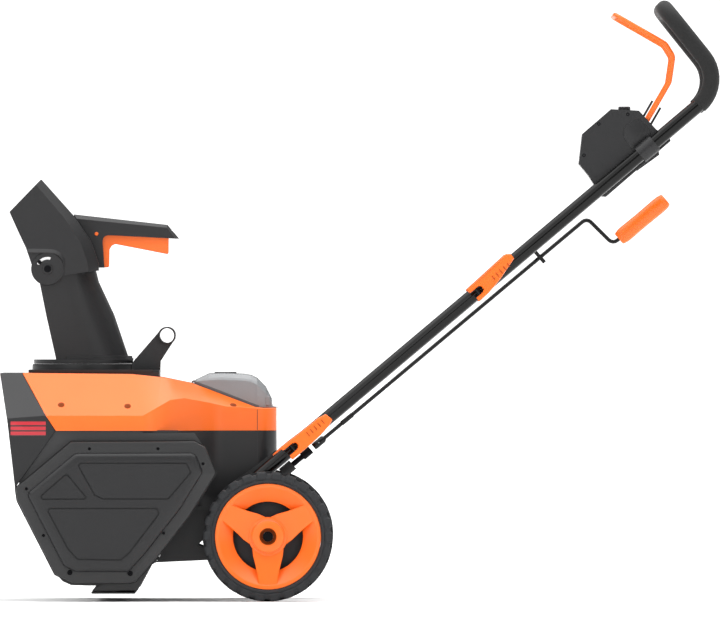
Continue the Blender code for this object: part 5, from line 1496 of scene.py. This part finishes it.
# ---------------------------------------------------------------- chute crank
@dataclass
class Crank:
    """Rod, couplings and turning grip that swing the chute."""

    rod_foot: Point = (-0.0740, 0.2456)
    rod_angle: float = math.radians(39.95)
    rod_y: float = 0.0820

    def spot(self, distance: float) -> Vector:
        """A point up the rod's line from its foot."""
        return Vector((self.rod_foot[0] + math.cos(self.rod_angle) * distance, self.rod_y,
                       self.rod_foot[1] + math.sin(self.rod_angle) * distance))

    def build(self) -> None:
        """Dresses the rod and adds its couplings and grip."""
        dress(["crank_rod"], GLOSS_BLACK, 0.0)
        dress(["chute_drive_sheath"], SOFT_RUBBER, 0.0)
        self.couplings()
        self.grip()

    def couplings(self) -> None:
        """Adds the socket, its cross pin and the crimped sleeve on the rod."""
        shape = bmesh.new()
        path = [self.spot(d) for d in (0.5 * MM, 2.5 * MM, 20 * MM, 23 * MM)]
        sweep(shape, path, [5.6 * MM, 6.0 * MM, 6.0 * MM, 4.2 * MM])
        path = [self.spot(d) for d in (58 * MM, 60 * MM, 80 * MM, 84 * MM)]
        sweep(shape, path, [3.4 * MM, 4.0 * MM, 4.0 * MM, 3.3 * MM])
        fit("rod_couplings", shape, GLOSS_BLACK, "crank")
        pin = bmesh.new()
        spin(pin, [(1.3 * MM, -6.8 * MM), (1.3 * MM, 6.8 * MM)], self.spot(11 * MM), Vector((0, 1, 0)), count=12)
        fit("coupling_pin", pin, ZINC, "crank")

    def grip(self) -> None:
        """Builds the barrel grip with two flats and a moulded recess."""
        low = Vector((0.4086, self.rod_y, 0.5730))
        end = Vector((0.4900, self.rod_y, 0.6412))
        axis = (end - low).normalized()
        up = axis.cross(Vector((0, 1, 0))).normalized()
        start = low + axis * 12.5 * MM
        profile = [(6.0, 0.0), (9.6, 0.0), (11.0, 1.4), (12.6, 8.0), (13.0, 14.0), (12.7, 30.0), (12.5, 46.0),
                   (12.7, 64.0), (13.0, 83.0), (12.6, 91.0), (11.2, 97.0), (9.6, 98.8), (6.0, 99.0)]
        shape = bmesh.new()
        loops = []
        for radius, height in profile:
            loop = []
            for x, y in circle((0, 0), 1.0, 48):
                flat = radius * MM * (1.0 if abs(y) < 0.72 else 0.72 / abs(y) * 0.25 + 0.75)
                loop.append(start + axis * height * MM + up * (x * flat) + Vector((0, y * flat, 0)))
            loops.append(loop)
        loft(shape, loops)
        shape = carve(shape, self.racetrack(start, axis, up))
        piece = fit("crank_grip_moulded", shape, ORANGE_ABS, "crank_knob", smooth=40.0)
        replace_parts(piece, "crank_grip")


    def racetrack(self, start: Vector, axis: Vector, up: Vector) -> bmesh.types.BMesh:
        """The cutter of the long oval groove in the grip's left flat.

        Args:
            start: the foot of the grip.
            axis: the way the grip points.
            up: square to the axis, in the plane of the oval.

        Returns:
            A ring-shaped cutter.
        """
        groove = bmesh.new()
        outline = [(24 * MM, -3.4 * MM), (72 * MM, -3.4 * MM), (72 * MM, 3.4 * MM), (24 * MM, 3.4 * MM)]
        loops = []
        for distance, y in ((0.0, -16.0 * MM), (0.0, -11.6 * MM), (1.1 * MM, -11.6 * MM), (1.1 * MM, -16.0 * MM)):
            loops.append([start + axis * s + up * t + Vector((0, y, 0))
                          for s, t in rounded(inset(outline, distance), 3.0 * MM)])
        loft(groove, loops, Ends.JOINED)
        return groove


# ---------------------------------------------------------------- controls
@dataclass
class Controls:
    """Switch box, bail and its bracket."""

    pivot: Point = (0.4504, 0.7512)
    screws: tuple[Point, ...] = ((0.4299, 0.7798), (0.3834, 0.7645), (0.3595, 0.7144))
    bail_y: float = 0.1650
    box_wall: float = -0.1782

    def build(self) -> None:
        """Dresses the controls and adds the box's fittings."""
        dress(["control_box", "bail_bracket"], BLACK_PP, 1.2)
        dress(["bail"], ORANGE_WIRE, 0.0)
        dress(["start_button"], BLACK_PP, 0.6)
        self.box_screws()
        self.boss()
        self.strip()
        self.bail()
        self.guides()

    def box_screws(self) -> None:
        """Adds the sunk screws in the box's left face."""
        shape = bmesh.new()
        for x, z in self.screws:
            spot, normal = surface("control_box", Vector((x, -0.5, z)), Vector((0, 1, 0)))
            add_screw(shape, spot, normal, 2.8 * MM, 0.5 * MM)
        fit("box_screws", shape, BLACK_OXIDE, "upper_handle")

    def boss(self) -> None:
        """Adds the round cap over the bail's pivot."""
        shape = bmesh.new()
        outline = [(self.pivot[0] - 0.0020, self.pivot[1] + 0.0205), (0.4360, 0.7690), (0.4240, 0.7590), (0.4232, 0.7440),
                   (0.4370, 0.7220), (0.4540, 0.7360), (0.4680, 0.7470), (0.4640, 0.7570)]
        slab(shape, rounded(outline, 7 * MM), self.box_wall + 1.0 * MM, self.box_wall - 1.4 * MM, 0.8 * MM)
        fit("box_boss", shape, BLACK_PP, "upper_handle")

    def strip(self) -> None:
        """Adds the flat rail under the tube that carries the box."""
        shape = bmesh.new()
        outline = rounded([(0.3894, 0.6482), (0.3950, 0.6478), (0.4985, 0.7372), (0.4973, 0.7415),
                           (0.4930, 0.7400), (0.3880, 0.6520)], 1.2 * MM, 3)
        slab(shape, outline, -0.1200, -0.1790, 0.6 * MM)
        fit("box_rail", shape, BLACK_PP, "upper_handle")

    def bail(self) -> None:
        """Bends the wire bail in one smooth run, with an eye at each pivot."""
        turns = ((0.0, 0.0), (0.0466, 0.0806), (0.0525, 0.1220), (0.0400, 0.1420), (-0.0406, 0.1883))
        side = [(self.pivot[0] + dx, self.pivot[1] + dz) for dx, dz in turns]
        corners = [(x, -self.bail_y, z) for x, z in side] + [(x, self.bail_y, z) for x, z in side[::-1]]
        path = arcs(corners, 16.0 * MM)
        shape = bmesh.new()
        sweep(shape, path, [3.7 * MM] * len(path), count=20)
        for sign in (-1, 1):
            spin(shape, [(5.2 * MM, -3.6 * MM), (5.2 * MM, 3.6 * MM), (4.4 * MM, 4.4 * MM)],
                 Vector((self.pivot[0], sign * self.bail_y, self.pivot[1])), Vector((0, sign, 0)), count=24)
        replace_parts(fit("bail_wire", shape, ORANGE_WIRE, "bail"), "bail")

    def guides(self) -> None:
        """Adds the two thin cheeks that stand on the control box beside the bail."""
        shape = bmesh.new()
        heading = Vector((0.0466, 0.0806)).normalized()
        across = Vector((heading.y, -heading.x))
        for start, reach, offset in ((0.0200, 0.0330, -8.6 * MM), (0.0170, 0.0330, 8.0 * MM)):
            near = Vector(self.pivot) + heading * start + across * offset
            far = near + heading * reach
            half = across * 1.3 * MM
            outline = [tuple(near - half), tuple(near + half), tuple(far + half), tuple(far - half)]
            slab(shape, outline, -(self.bail_y - 15 * MM), -(self.bail_y - 5 * MM))
        ease(shape, 0.5 * MM)
        fit("bail_cheeks", shape, BLACK_PP, "upper_handle")


# ---------------------------------------------------------------- drive
@dataclass
class Drive:
    """Auger, motor and running gear."""

    def build(self) -> None:
        """Dresses the parts inside the machine."""
        dress(["auger_shaft"], ZINC, 0.0)
        dress(["wheel_axle"], BLACK_OXIDE, 0.0)
        dress(["auger_paddle"], SOFT_RUBBER, 1.2)
        dress(["drive_belt"], SOFT_RUBBER, 0.0)
        dress(["auger_bearing_left", "auger_bearing_right"], BLACK_OXIDE, 0.0)
        dress(["motor", "motor_pulley", "idler_pulley", "auger_pulley", "motor_controller"], CAST_ALUMINIUM, 0.4)


# ---------------------------------------------------------------- studio
@dataclass
class Studio:
    """Pale floor, soft light and the camera."""

    distance: float = 40.0
    near_plane: float = 0.23
    view_width: float = 1.152
    sensor: float = 36.0
    reach: float = 400.0
    aim: tuple[float, float] = (0.0008, 0.4496)
    crown: float = 3.2
    sky: tuple[tuple[float, float], ...] = ((0.0, 0.42), (0.05, 0.42), (0.07, 0.07), (0.50, 0.09), (0.82, 1.0))

    def build(self) -> None:
        """Builds the whole studio."""
        self.floor()
        self.world()
        self.softbox("front_left", (-3.0, -5.0, 2.6), (0, 0, 0.4), 3.5, 60.0)
        self.softbox("front_right", (3.6, -5.0, 1.8), (0, 0, 0.4), 3.0, 30.0)
        self.camera()
        bpy.context.scene.view_settings.view_transform = "Standard"

    def floor(self) -> None:
        """Lays a wide pale floor at ground level."""
        shape = bmesh.new()
        for x, y in ((-150, -150), (150, -150), (150, 150), (-150, 150)):
            shape.verts.new((x, y, 0))
        shape.faces.new(shape.verts)
        mesh = bpy.data.meshes.new("floor")
        shape.to_mesh(mesh)
        shape.free()
        material = bpy.data.materials.new("pale_floor")
        material.use_nodes = True
        shader = material.node_tree.nodes["Principled BSDF"]
        shader.inputs["Base Color"].default_value = linear("#F2F2F2")
        shader.inputs["Roughness"].default_value = 0.9
        shader.inputs["Specular IOR Level"].default_value = 0.1
        mesh.materials.append(material)
        floor = bpy.data.objects.new("floor", mesh)
        bpy.context.scene.collection.objects.link(floor)

    def world(self) -> None:
        """Surrounds the machine with a dim sky, a bright crown overhead and a thin white horizon."""
        world = bpy.data.worlds.new("studio_world")
        world.use_nodes = True
        tree = world.node_tree
        coords = add(tree, "ShaderNodeTexCoord").outputs["Generated"]
        height = add(tree, "ShaderNodeSeparateXYZ", {0: coords}).outputs["Z"]
        ramp = add(tree, "ShaderNodeValToRGB", {0: height})
        steps = ramp.color_ramp.elements
        while len(steps) < len(self.sky):
            steps.new(0.5)
        for step, (place, value) in zip(steps, self.sky):
            step.position = place
            step.color = (value, value, value, 1.0)
        background = tree.nodes["Background"]
        tree.links.new(ramp.outputs[0], background.inputs["Color"])
        background.inputs["Strength"].default_value = self.crown
        bpy.context.scene.world = world

    def softbox(self, name: str, at: tuple[float, float, float], aim: tuple[float, float, float], size: float,
                watts: float) -> None:
        """Hangs one square soft light.

        Args:
            name: the light's name.
            at: where it hangs.
            aim: what it points at.
            size: its side.
            watts: its power.
        """
        light = bpy.data.lights.new(name, "AREA")
        light.shape = "SQUARE"
        light.size = size
        light.energy = watts
        lamp = bpy.data.objects.new(name, light)
        lamp.location = at
        lamp.rotation_euler = (Vector(aim) - Vector(at)).to_track_quat("-Z", "Y").to_euler()
        bpy.context.scene.collection.objects.link(lamp)

    def camera(self) -> None:
        """Sets a level camera square to the machine's left side."""
        data = bpy.data.cameras.new("camera")
        data.sensor_width = self.sensor
        data.lens = self.sensor * (self.distance - self.near_plane) / self.view_width
        data.clip_end = self.reach
        camera = bpy.data.objects.new("camera", data)
        camera.location = (self.aim[0], -self.distance, self.aim[1])
        camera.rotation_euler = (math.pi / 2, 0, 0)
        bpy.context.scene.collection.objects.link(camera)
        bpy.context.scene.camera = camera


def main() -> None:
    """Builds every sub-assembly in order."""
    logging.basicConfig(level=logging.INFO, format="%(message)s")
    Studio().build()
    for side in Side:
        Wheel(side).build()
    SideCover(Side.LEFT, "belt_cover").build()
    SideCover(Side.RIGHT, "right_side_cover").build()
    Body().build()
    BatteryBay().build()
    Chute().build()
    Handle().build()
    Crank().build()
    Controls().build()
    Drive().build()


if __name__ == "__main__":
    main()
